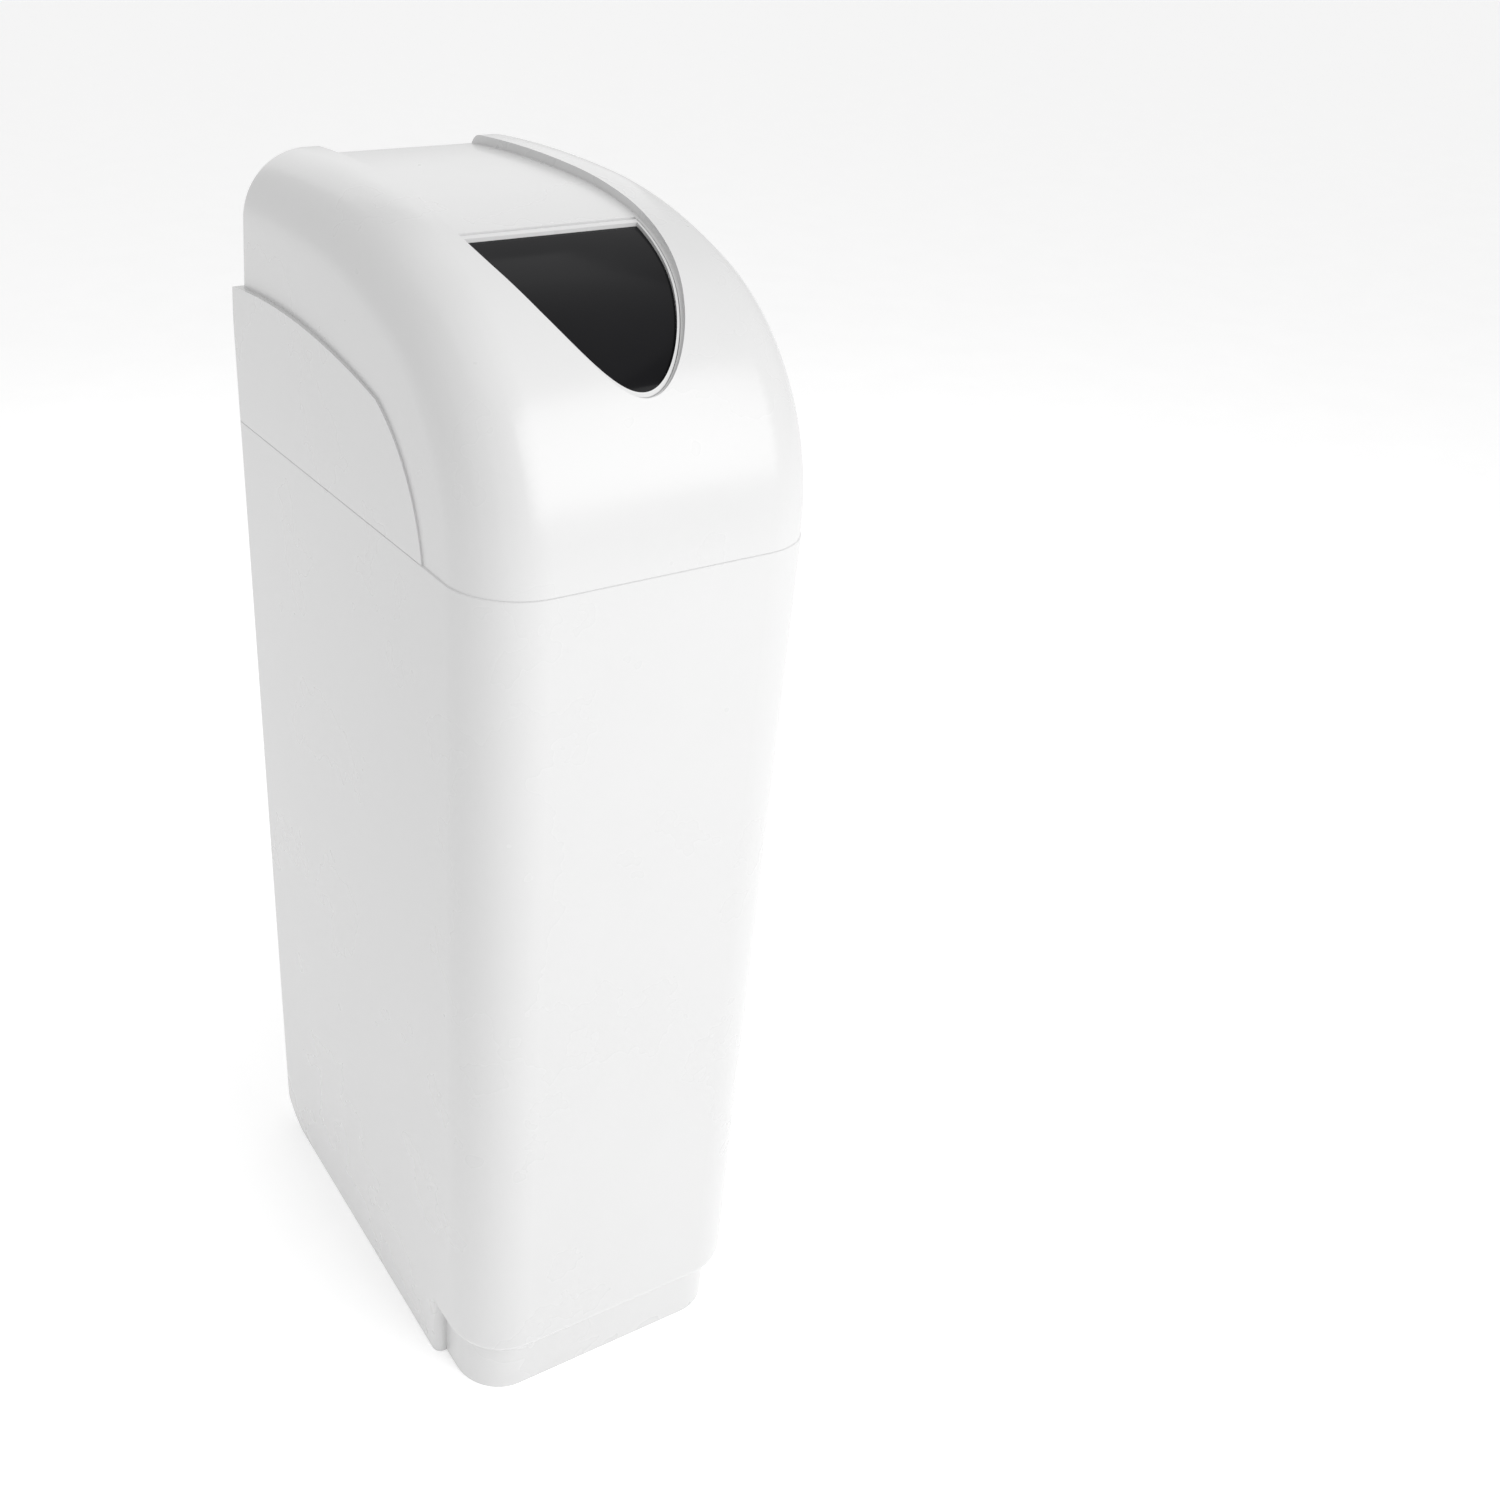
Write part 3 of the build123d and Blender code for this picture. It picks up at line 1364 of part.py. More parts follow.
def brine_float():
    low = float_centre_z - float_height / 2
    outline = ring(well_x - float_offset, well_y, float_radius, float_rod_radius)
    body = along_z(outline, low, low + float_height)
    groove = Pos(well_x + pickup_offset / 2, well_y) * Circle(pickup_radius + seat_clearance)
    return body - along_z(groove, low, low + float_height)


def overflow_elbow():
    collar_end = half_depth + overflow_collar_thickness
    inner = half_depth - body_wall - overflow_nut_thickness - seat_clearance
    down_y = collar_end + overflow_reach
    route = FilletPolyline(
        (overflow_x, inner, overflow_z),
        (overflow_x, down_y, overflow_z),
        (overflow_x, down_y, overflow_end_z),
        radius=overflow_bend_radius,
    )
    start = Plane(origin=(overflow_x, inner, overflow_z), x_dir=(1, 0, 0), z_dir=(0, 1, 0))
    elbow = sweep(start * Circle(overflow_radius), path=route)
    elbow += along_y(spot(overflow_x, overflow_z, overflow_collar_radius), half_depth, collar_end)
    shoulder = spot(overflow_x, down_y, overflow_shoulder_radius)
    elbow += along_z(shoulder, overflow_shoulder_z, overflow_shoulder_top)
    return elbow - sweep(start * Circle(overflow_bore_radius), path=route)


def overflow_nut():
    end = half_depth - body_wall
    nut = along_y(hexagon(overflow_x, overflow_z, overflow_nut_flats), end - overflow_nut_thickness, end)
    hole = spot(overflow_x, overflow_z, overflow_radius + seat_clearance / 2)
    return nut - along_y(hole, end - overflow_nut_thickness, end)


parts = {
    "cabinet_body": cabinet_body,
    "hood": hood,
    "hatch_frame": hatch_frame,
    "hatch_pane": hatch_pane,
    "hatch_hinge_pins": hatch_hinge_pins,
    "resin_tank": resin_tank,
    "tank_boot": tank_boot,
    "riser_tube": riser_tube,
    "lower_basket": lower_basket,
    "upper_basket": upper_basket,
    "resin_bed": resin_bed,
    "valve_body": valve_body,
    "tank_o_ring": tank_o_ring,
    "seal_stack": seal_stack,
    "end_plug": end_plug,
    "valve_piston": valve_piston,
    "mixing_nut": mixing_nut,
    "mixing_screw": mixing_screw,
    "drain_fitting": drain_fitting,
    "brine_nut": brine_nut,
    "front_bezel": front_bezel,
    "front_plate": front_plate,
    "trim_ring": trim_ring,
    "back_cover": back_cover,
    "cover_badge": cover_badge,
    "drive_bracket": drive_bracket,
    "bracket_screws": bracket_screws,
    "drive_motor": drive_motor,
    "drive_shaft": drive_shaft,
    "day_gear": day_gear,
    "red_pinion": red_pinion,
    "pinion_carrier": pinion_carrier,
    "regen_knob": regen_knob,
    "knob_plate": knob_plate,
    "program_wheel": program_wheel,
    "capacity_dial": capacity_dial,
    "dial_hub": dial_hub,
    "meter_housing": meter_housing,
    "meter_pinion": meter_pinion,
    "green_lens": lambda: lens(green_lens_x, green_lens_rise),
    "red_lens": lambda: lens(red_lens_x, red_lens_rise),
    "bypass_body": bypass_body,
    "inlet_rotor": lambda: bypass_rotor(1),
    "outlet_rotor": lambda: bypass_rotor(-1),
    "bypass_clips": bypass_clips,
    "clip_screws": clip_screws,
    "side_port_plugs": side_port_plugs,
    "spigot_o_rings": spigot_o_rings,
    "brine_well": brine_well,
    "brine_well_cap": brine_well_cap,
    "brine_line": brine_line,
    "float_valve": float_valve,
    "air_check": air_check,
    "float_rod": float_rod,
    "brine_float": brine_float,
    "overflow_elbow": overflow_elbow,
    "overflow_nut": overflow_nut,
}

os.makedirs("parts", exist_ok=True)
for name, make in parts.items():
    export_step(make(), "parts/" + name + ".step")
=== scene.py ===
import json
import math

import bmesh
import bpy
from mathutils import Matrix, Vector


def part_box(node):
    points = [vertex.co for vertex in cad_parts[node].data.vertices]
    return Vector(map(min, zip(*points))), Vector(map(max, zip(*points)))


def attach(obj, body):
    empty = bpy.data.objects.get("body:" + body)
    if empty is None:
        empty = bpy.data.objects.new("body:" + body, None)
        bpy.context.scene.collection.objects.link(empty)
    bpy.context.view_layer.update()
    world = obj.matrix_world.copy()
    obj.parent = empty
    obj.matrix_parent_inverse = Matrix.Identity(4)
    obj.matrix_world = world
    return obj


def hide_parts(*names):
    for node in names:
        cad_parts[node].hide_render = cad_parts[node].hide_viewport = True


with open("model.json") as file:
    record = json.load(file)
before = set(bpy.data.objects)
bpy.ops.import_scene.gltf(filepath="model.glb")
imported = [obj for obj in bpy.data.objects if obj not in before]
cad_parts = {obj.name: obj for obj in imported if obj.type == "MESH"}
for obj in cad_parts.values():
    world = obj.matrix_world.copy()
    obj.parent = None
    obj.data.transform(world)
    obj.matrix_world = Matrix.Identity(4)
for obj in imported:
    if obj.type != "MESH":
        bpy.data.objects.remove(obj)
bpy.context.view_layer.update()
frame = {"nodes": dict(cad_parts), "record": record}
MM = 0.001
nodes = frame["nodes"]

# Camera at the photograph's place: yaw, pitch and roll in degrees, place in metres, lens and shift
CAMERA_TURNS = (-28.31, 30.05, 0.68)
CAMERA_PLACE = (-0.6405, -1.1686, 1.3585)
CAMERA_LENS = 37.232
SENSOR_WIDTH = 36
CAMERA_SHIFT = (0.173, 0.0096)

# Studio in metres: each soft box has a name, a place, a width and height, and a power in watts
STUDIO_MIDDLE = (0, 0, 0.6)
SKY_STRENGTH = 0.66
FLOOR_RADIUS = 30
soft_boxes = (
    ("key_light", (1.1, -2.7, 2.3), (2.6, 2.4), 52),
    ("side_light", (-2.6, -0.9, 1.5), (0.6, 2.2), 0.6),
    ("rear_light", (0.8, 2.4, 2.2), (2.4, 1.6), 6),
    ("top_light", (0, 0, 3.3), (3.2, 3.2), 12),
)


# Places that the frame gives: in metres the middle of a node, in millimetres its front and a joint's axis
def middle_of(node):
    low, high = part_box(node)
    return (low + high) / 2


def front_of(node):
    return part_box(node)[0].y / MM


def axis_of(joint_name):
    places = {joint["name"]: joint.get("pos_m") for joint in frame["record"]["behaviour"]["joints"]}
    return [part / MM for part in places[joint_name]]


# The shift puts the cabinet to the left of the middle, as in the photograph
def place_camera():
    yaw, pitch, roll = (math.radians(angle) for angle in CAMERA_TURNS)
    back = Vector((math.sin(yaw) * math.cos(pitch), -math.cos(yaw) * math.cos(pitch), math.sin(pitch)))
    right = Vector((math.cos(yaw), math.sin(yaw), 0))
    up = back.cross(right)
    level = right * math.cos(roll) + up * math.sin(roll)
    rise = up * math.cos(roll) - right * math.sin(roll)
    turn = Matrix((level, rise, back)).transposed().to_4x4()
    camera = bpy.data.objects.new("camera", bpy.data.cameras.new("camera"))
    camera.matrix_world = Matrix.Translation(Vector(CAMERA_PLACE)) @ turn
    camera.data.lens = CAMERA_LENS
    camera.data.sensor_width = SENSOR_WIDTH
    camera.data.shift_x, camera.data.shift_y = CAMERA_SHIFT
    bpy.context.scene.collection.objects.link(camera)
    bpy.context.scene.camera = camera


def hang_soft_box(name, place, size, power):
    lamp = bpy.data.lights.new(name, "AREA")
    lamp.shape = "RECTANGLE"
    lamp.size, lamp.size_y = size
    lamp.energy = power
    holder = bpy.data.objects.new(name, lamp)
    holder.location = place
    holder.rotation_euler = (Vector(STUDIO_MIDDLE) - Vector(place)).to_track_quat("-Z", "Y").to_euler()
    bpy.context.scene.collection.objects.link(holder)


def light_studio():
    world = bpy.data.worlds.new("studio")
    world.use_nodes = True
    sky = world.node_tree.nodes["Background"]
    sky.inputs["Color"].default_value = (1, 1, 1, 1)
    sky.inputs["Strength"].default_value = SKY_STRENGTH
    bpy.context.scene.world = world
    bpy.context.scene.view_settings.view_transform = "Standard"
    for soft_box in soft_boxes:
        hang_soft_box(*soft_box)


def lay_floor(finish):
    disc = bmesh.new()
    bmesh.ops.create_circle(disc, cap_ends=True, segments=96, radius=FLOOR_RADIUS)
    floor = bpy.data.objects.new("studio_floor", bpy.data.meshes.new("studio_floor"))
    disc.to_mesh(floor.data)
    disc.free()
    bpy.context.scene.collection.objects.link(floor)
    floor.data.materials.append(finish)


# Steps that the finishes and their effect groups share: a value is a number, a colour or another step
def feed(tree, socket, value):
    if isinstance(value, (int, float, tuple)):
        socket.default_value = value
    else:
        tree.links.new(value, socket)


def reckon(tree, kind, *values):
    node = tree.nodes.new("ShaderNodeMath")
    node.operation = kind
    for socket, value in zip(node.inputs, values):
        feed(tree, socket, value)
    return node.outputs["Value"]


def ranged(tree, value, start, end, low=0, high=1):
    node = tree.nodes.new("ShaderNodeMapRange")
    limits = (("From Min", start), ("From Max", end), ("To Min", low), ("To Max", high))
    for label, part in (("Value", value), *limits):
        feed(tree, node.inputs[label], part)
    return node.outputs["Result"]


def noise(tree, place, scale, detail, roughness=0.5):
    node = tree.nodes.new("ShaderNodeTexNoise")
    for label, value in (("Vector", place), ("Scale", scale), ("Detail", detail), ("Roughness", roughness)):
        feed(tree, node.inputs[label], value)
    return node.outputs["Fac"]


def own_place(tree):
    return tree.nodes.new("ShaderNodeTexCoord").outputs["Object"]


def mapped_place(tree, **values):
    node = tree.nodes.new("ShaderNodeMapping")
    tree.links.new(own_place(tree), node.inputs["Vector"])
    for label, value in values.items():
        node.inputs[label].default_value = value
    return node.outputs["Vector"]


def split_axes(tree, vector):
    node = tree.nodes.new("ShaderNodeSeparateXYZ")
    tree.links.new(vector, node.inputs["Vector"])
    return node.outputs["X"], node.outputs["Y"], node.outputs["Z"]


# The mix node's colour sockets share their names with its other kinds, so they go by number
def mix_colors(tree, factor, first, second):
    node = tree.nodes.new("ShaderNodeMix")
    node.data_type = "RGBA"
    for number, value in ((0, factor), (6, first), (7, second)):
        feed(tree, node.inputs[number], value)
    return node.outputs[2]


def bump(tree, shader, height, strength, distance):
    node = tree.nodes.new("ShaderNodeBump")
    for label, value in (("Height", height), ("Strength", strength), ("Distance", distance)):
        feed(tree, node.inputs[label], value)
    tree.links.new(node.outputs["Normal"], shader.inputs["Normal"])


def effect_group(name, inputs, outputs):
    group = bpy.data.node_groups.new(name, "ShaderNodeTree")
    for label, value in inputs:
        socket = group.interface.new_socket(name=label, in_out="INPUT", socket_type="NodeSocketFloat")
        socket.default_value = value
    for label in outputs:
        group.interface.new_socket(name=label, in_out="OUTPUT", socket_type="NodeSocketFloat")
    return group, group.nodes.new("NodeGroupInput").outputs, group.nodes.new("NodeGroupOutput").inputs


# Fine grain of a moulded surface with broad flow marks: height for bump, spread for roughness
def moulding_effect():
    group, given, result = effect_group(
        "moulded_grain",
        (("Grain scale", 900.0), ("Flow scale", 6.0), ("Low", 0.3), ("High", 0.4)),
        ("Height", "Roughness", "Flow"),
    )
    place = own_place(group)
    grain = noise(group, place, given["Grain scale"], 3)
    flow = noise(group, place, given["Flow scale"], 4, 0.6)
    group.links.new(grain, result["Height"])
    group.links.new(ranged(group, flow, 0.3, 0.7, given["Low"], given["High"]), result["Roughness"])
    group.links.new(flow, result["Flow"])
    return group


# Dust and handling marks, gathered on faces that look upward
def dust_effect():
    group, given, result = effect_group("settled_dust", (("Amount", 0.1), ("Patch scale", 18.0)), ("Mask",))
    patches = noise(group, own_place(group), given["Patch scale"], 6)
    facing = group.nodes.new("ShaderNodeNewGeometry")
    upward = ranged(group, split_axes(group, facing.outputs["Normal"])[2], 0.2, 1)
    mask = reckon(group, "MULTIPLY", reckon(group, "MULTIPLY", upward, patches), given["Amount"])
    mask.node.use_clamp = True
    group.links.new(mask, result["Mask"])
    return group


moulded_grain = moulding_effect()
settled_dust = dust_effect()


def new_finish(name, **values):
    finish = bpy.data.materials.new(name)
    finish.use_nodes = True
    shader = finish.node_tree.nodes["Principled BSDF"]
    for label, value in values.items():
        shader.inputs[label.replace("_", " ")].default_value = value
    return finish, finish.node_tree, shader


# Grain of a moulding under a finish, with the lowest and highest roughness of its flow marks
def moulded_skin(tree, shader, low, high, grain=900.0):
    skin = tree.nodes.new("ShaderNodeGroup")
    skin.node_tree = moulded_grain
    for label, value in (("Grain scale", grain), ("Low", low), ("High", high)):
        skin.inputs[label].default_value = value
    tree.links.new(skin.outputs["Roughness"], shader.inputs["Roughness"])
    return skin.outputs


DUST_COLOR = (0.45, 0.44, 0.42, 1)


# Moulded plastic with grain, flow marks in its gloss and a little dust
def moulded_plastic(name, color, low=0.3, high=0.42, grain=900.0, strength=0.05, dust=0.05, **values):
    finish, tree, shader = new_finish(name, **values)
    skin = moulded_skin(tree, shader, low, high, grain)
    settled = tree.nodes.new("ShaderNodeGroup")
    settled.node_tree = settled_dust
    settled.inputs["Amount"].default_value = dust
    pale = tuple(min(1, part * 1.05 + 0.003) for part in color[:3]) + (1,)
    body = mix_colors(tree, skin["Flow"], color, pale)
    tree.links.new(mix_colors(tree, settled.outputs["Mask"], body, DUST_COLOR), shader.inputs["Base Color"])
    bump(tree, shader, skin["Height"], strength, 0.2 * MM)
    return finish


def flat_print(name, color, low=0.3, high=0.4, **values):
    return moulded_plastic(name, color, low, high, 600.0, 0.02, 0.0, **values)


# Bare metal with fine lines along one direction
def lined_metal(name, color, low=0.25, high=0.4, stretch=(1, 40, 40), scale=60.0):
    finish, tree, shader = new_finish(name, Metallic=1.0)
    lines = noise(tree, mapped_place(tree, Scale=stretch), scale, 4)
    tree.links.new(ranged(tree, lines, 0, 1, low, high), shader.inputs["Roughness"])
    dark = tuple(part * 0.8 for part in color[:3]) + (1,)
    tree.links.new(mix_colors(tree, lines, dark, color), shader.inputs["Base Color"])
    bump(tree, shader, lines, 0.08, 0.2 * MM)
    return finish


def smoked_pane():
    finish, tree, shader = new_finish("smoked_pane", Specular_IOR_Level=0.1)
    skin = moulded_skin(tree, shader, 0.05, 0.12, 40.0)
    smoke = mix_colors(tree, skin["Flow"], (0.003, 0.003, 0.004, 1), (0.008, 0.008, 0.009, 1))
    tree.links.new(smoke, shader.inputs["Base Color"])
    bump(tree, shader, skin["Height"], 0.05, 0.3 * MM)
    return finish


# Colours of the face from its foot to its head, each at its share of the height. The print's colours run up
# to the pale stop at 0.88, and the two darker stops at the head are painted shadow of the bezel above it
face_colors_and_bezel_shadow = (
    (0.0, (0.7, 0.95, 0.95, 1)),
    (0.1, (0.5, 0.88, 0.88, 1)),
    (0.22, (0.03, 0.6, 0.56, 1)),
    (0.42, (0.0, 0.48, 0.43, 1)),
    (0.64, (0.01, 0.54, 0.5, 1)),
    (0.78, (0.16, 0.66, 0.65, 1)),
    (0.88, (0.55, 0.74, 0.78, 1)),
    # Painted shadow of the bezel: these two stops darken the head of the face
    (0.93, (0.3, 0.48, 0.52, 1)),
    (1.0, (0.1, 0.3, 0.31, 1)),
)
FACE_PALE = (0.8, 0.88, 0.9, 1)
# Colour of the printed lines at the sides and foot, and of the painted shadow line at the head
FACE_LINE_AND_SHADOW = (0.0, 0.36, 0.33, 1)

# Outline of the face: its half width at mid height, the lean of its sides and the bow of its ends
FACE_HALF_WIDTH = 91.05 * MM
FACE_SIDE_SLOPE = 0.0742
FACE_FOOT_BOW = 0.52
FACE_HEAD_BOW = 0.56

# Lines of the face, measured inwards from its outline
LINE_INSET = 3.2 * MM
LINE_HALF_WIDTH = 0.9 * MM
LINE_END = 2.2 * MM


# Lines that run inside the side, foot and head of the face. The side and foot lines are print, and the head
# line is a painted shadow of the bezel
def face_lines_and_shadow(tree, across, up, foot_height, head_height):
    middle = (foot_height + head_height) / 2
    lean = reckon(tree, "MULTIPLY_ADD", up, FACE_SIDE_SLOPE, FACE_HALF_WIDTH - FACE_SIDE_SLOPE * middle)
    side = reckon(tree, "SUBTRACT", reckon(tree, "ABSOLUTE", across), lean)
    bow = reckon(tree, "MULTIPLY", across, across)
    foot = reckon(tree, "SUBTRACT", up, reckon(tree, "MULTIPLY_ADD", bow, FACE_FOOT_BOW, foot_height))
    head = reckon(tree, "SUBTRACT", reckon(tree, "MULTIPLY_ADD", bow, -FACE_HEAD_BOW, head_height), up)
    # The lines along the sides and foot are print; the line along the head is painted shadow of the bezel
    lines = reckon(tree, "COMPARE", side, -LINE_INSET, LINE_HALF_WIDTH)
    for edge in (foot, head):
        lines = reckon(tree, "MAXIMUM", lines, reckon(tree, "COMPARE", edge, LINE_INSET, LINE_HALF_WIDTH))
    lines = reckon(tree, "MULTIPLY", lines, reckon(tree, "LESS_THAN", side, -LINE_END))
    for edge in (foot, head):
        lines = reckon(tree, "MULTIPLY", lines, reckon(tree, "GREATER_THAN", edge, LINE_END))
    return lines


# Blue-green print that fades to white towards the top and the lower right corner, under a painted shadow of
# the bezel along its head
def face_print_and_shadow(low_corner, high_corner):
    finish, tree, shader = new_finish("face_print_and_shadow", Coat_Weight=0.3, Coat_Roughness=0.1)
    across, _, up = split_axes(tree, own_place(tree))
    ramp = tree.nodes.new("ShaderNodeValToRGB")
    ramp.color_ramp.elements[0].color = face_colors_and_bezel_shadow[0][1]
    ramp.color_ramp.elements[1].color = face_colors_and_bezel_shadow[-1][1]
    for share, color in face_colors_and_bezel_shadow[1:-1]:
        ramp.color_ramp.elements.new(share).color = color
    # The ramp runs up the face and ends in the painted shadow of the bezel at its head
    tree.links.new(ranged(tree, up, low_corner.z, high_corner.z), ramp.inputs["Fac"])
    middle = (low_corner.z + high_corner.z) / 2
    rightward = ranged(tree, across, 10 * MM, 80 * MM)
    downward = ranged(tree, up, middle - 4 * MM, middle - 34 * MM)
    corner = reckon(tree, "MULTIPLY", rightward, downward)
    upward = ranged(tree, up, middle + 14 * MM, middle + 34 * MM)
    crown = reckon(tree, "MULTIPLY", ranged(tree, across, -90 * MM, 60 * MM), upward)
    crown_share = 0.35
    fade = reckon(tree, "MAXIMUM", corner, reckon(tree, "MULTIPLY", crown, crown_share))
    field = mix_colors(tree, fade, ramp.outputs["Color"], FACE_PALE)
    lines = face_lines_and_shadow(tree, across, up, low_corner.z, high_corner.z)
    tree.links.new(mix_colors(tree, lines, field, FACE_LINE_AND_SHADOW), shader.inputs["Base Color"])
    skin = moulded_skin(tree, shader, 0.28, 0.36)
    bump(tree, shader, skin["Height"], 0.03, 0.1 * MM)
    return finish


# Clear moulded lens with concentric rings under its face, with a painted glow from emission in the colours of
# its rings
def glowing_ringed_lens(name, color, centre):
    finish, tree, shader = new_finish(
        name, IOR=1.49, Transmission_Weight=0.35, Coat_Weight=0.5, Coat_Roughness=0.05, Emission_Strength=0.25
    )
    rings = tree.nodes.new("ShaderNodeTexWave")
    rings.wave_type = "RINGS"
    rings.rings_direction = "Y"
    rings.inputs["Scale"].default_value = 130
    tree.links.new(mapped_place(tree, Location=-centre), rings.inputs["Vector"])
    dark = tuple(part * 0.55 for part in color[:3]) + (1,)
    # Painted glow: the ring colours also feed the emission
    for label in ("Base Color", "Emission Color"):
        tree.links.new(mix_colors(tree, rings.outputs["Fac"], dark, color), shader.inputs[label])
    moulded_skin(tree, shader, 0.08, 0.16)
    bump(tree, shader, rings.outputs["Fac"], 0.4, 0.4 * MM)
    return finish


# Bands of the vessel's winding, counted around it and up it
WINDING_STARTS = 26
WINDING_CLIMB = 520


# Glass-fibre vessel with the crossed bands of its winding
def wound_vessel():
    finish, tree, shader = new_finish("wound_vessel", Coat_Weight=0.25, Coat_Roughness=0.2)
    axis_depth = middle_of("resin_tank").y
    across, depth, up = split_axes(tree, mapped_place(tree, Location=(0, -axis_depth, 0)))
    angle = reckon(tree, "ARCTAN2", depth, across)
    bands = []
    for starts in (WINDING_STARTS, -WINDING_STARTS):
        around = reckon(tree, "MULTIPLY", angle, starts)
        bands.append(reckon(tree, "SINE", reckon(tree, "MULTIPLY_ADD", up, WINDING_CLIMB, around)))
    weave = reckon(tree, "MAXIMUM", *bands)
    fibre = mix_colors(tree, weave, (0.42, 0.44, 0.45, 1), (0.52, 0.54, 0.54, 1))
    tree.links.new(fibre, shader.inputs["Base Color"])
    moulded_skin(tree, shader, 0.3, 0.45, 300.0)
    bump(tree, shader, weave, 0.25, 0.4 * MM)
    return finish


# Loose beads seen as a packed bed, each light amber at its middle and darker towards its edge, a painted
# shade in the gaps between the beads
def bead_bed():
    finish, tree, shader = new_finish("resin_beads", Roughness=0.35, Coat_Weight=0.2)
    beads = tree.nodes.new("ShaderNodeTexVoronoi")
    beads.inputs["Scale"].default_value = 900
    tree.links.new(own_place(tree), beads.inputs["Vector"])
    # Painted shade: the colour darkens from each bead's middle towards the gaps between the beads
    amber_and_gap_shade = mix_colors(tree, beads.outputs["Distance"], (0.55, 0.3, 0.06, 1), (0.16, 0.07, 0.015, 1))
    tree.links.new(amber_and_gap_shade, shader.inputs["Base Color"])
    bump(tree, shader, beads.outputs["Distance"], 0.8, 0.6 * MM)
    return finish


# A moulded finish has its colour, lowest and highest roughness, grain scale, bump strength and dust
finishes = {
    "white": moulded_plastic(
        "gloss_white", (0.655, 0.655, 0.655, 1), 0.24, 0.34, 500.0, 0.02, 0.03,
        Coat_Weight=0.25, Coat_Roughness=0.2,
    ),
    "smoked": smoked_pane(),
    "black": moulded_plastic(
        "black_moulding", (0.006, 0.006, 0.007, 1), 0.3, 0.48, 700.0, 0.12, 0.03, Specular_IOR_Level=0.3
    ),
    "cover_black": moulded_plastic(
        "cover_black", (0.007, 0.007, 0.008, 1), 0.28, 0.4, 1100.0, 0.1, 0.04, Specular_IOR_Level=0.32
    ),
    "gear_black": moulded_plastic(
        "gear_black", (0.005, 0.005, 0.006, 1), 0.26, 0.4, 800.0, 0.08, 0.02, Specular_IOR_Level=0.28
    ),
    "knob_black": moulded_plastic(
        "knob_black", (0.004, 0.004, 0.005, 1), 0.22, 0.34, 1000.0, 0.05, 0.01, Specular_IOR_Level=0.26
    ),
    "teal": moulded_plastic("trim_teal", (0.1, 0.5, 0.48, 1), 0.3, 0.4, 700.0, 0.04, 0.03),
    "print": face_print_and_shadow(*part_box("front_plate")),
    "green_lens": glowing_ringed_lens("green_lens", (0.0, 0.44, 0.33, 1), middle_of("green_lens")),
    "red_lens": glowing_ringed_lens("red_lens", (0.75, 0.005, 0.01, 1), middle_of("red_lens")),
    "red": moulded_plastic("red_acetal", (0.85, 0.03, 0.005, 1), 0.25, 0.35, 700.0, 0.05, 0.0),
    "silver": lined_metal("silver_plate", (0.62, 0.62, 0.63, 1), 0.35, 0.5, (40, 40, 1), 30.0),
    "steel": lined_metal("stainless_steel", (0.66, 0.64, 0.61, 1), 0.2, 0.38),
    "rubber": moulded_plastic(
        "seal_rubber", (0.005, 0.005, 0.005, 1), 0.4, 0.6, 500.0, 0.1, 0.02, Specular_IOR_Level=0.3
    ),
    "vessel": wound_vessel(),
    "beads": bead_bed(),
    "grey": moulded_plastic("grey_tube", (0.34, 0.35, 0.36, 1), 0.35, 0.5, 500.0, 0.1, 0.02),
    "natural": moulded_plastic(
        "natural_white", (0.72, 0.73, 0.7, 1), 0.35, 0.5, 500.0, 0.08, 0.03, Subsurface_Weight=0.1
    ),
    "tube": moulded_plastic(
        "natural_tube", (0.75, 0.76, 0.74, 1), 0.3, 0.4, 300.0, 0.05, 0.0, Subsurface_Weight=0.2
    ),
    "clear": moulded_plastic(
        "clear_dial", (0.005, 0.005, 0.006, 1), 0.06, 0.1, 60.0, 0.0, 0.01,
        Specular_IOR_Level=0.3, Coat_Weight=0.25, Coat_Roughness=0.03,
    ),
    "white_print": flat_print("white_print", (0.85, 0.86, 0.86, 1)),
    "black_print": flat_print("black_print", (0.01, 0.01, 0.01, 1)),
    "green_print": flat_print("green_print", (0.03, 0.5, 0.08, 1)),
    "red_print": flat_print("red_print", (0.8, 0.06, 0.04, 1)),
    "blue_print": flat_print("blue_print", (0.06, 0.16, 0.42, 1)),
    "floor": flat_print(
        "floor_white", (0.93, 0.93, 0.93, 1), 0.6, 0.8, Emission_Color=(1, 1, 1, 1), Emission_Strength=0.28
    ),
}

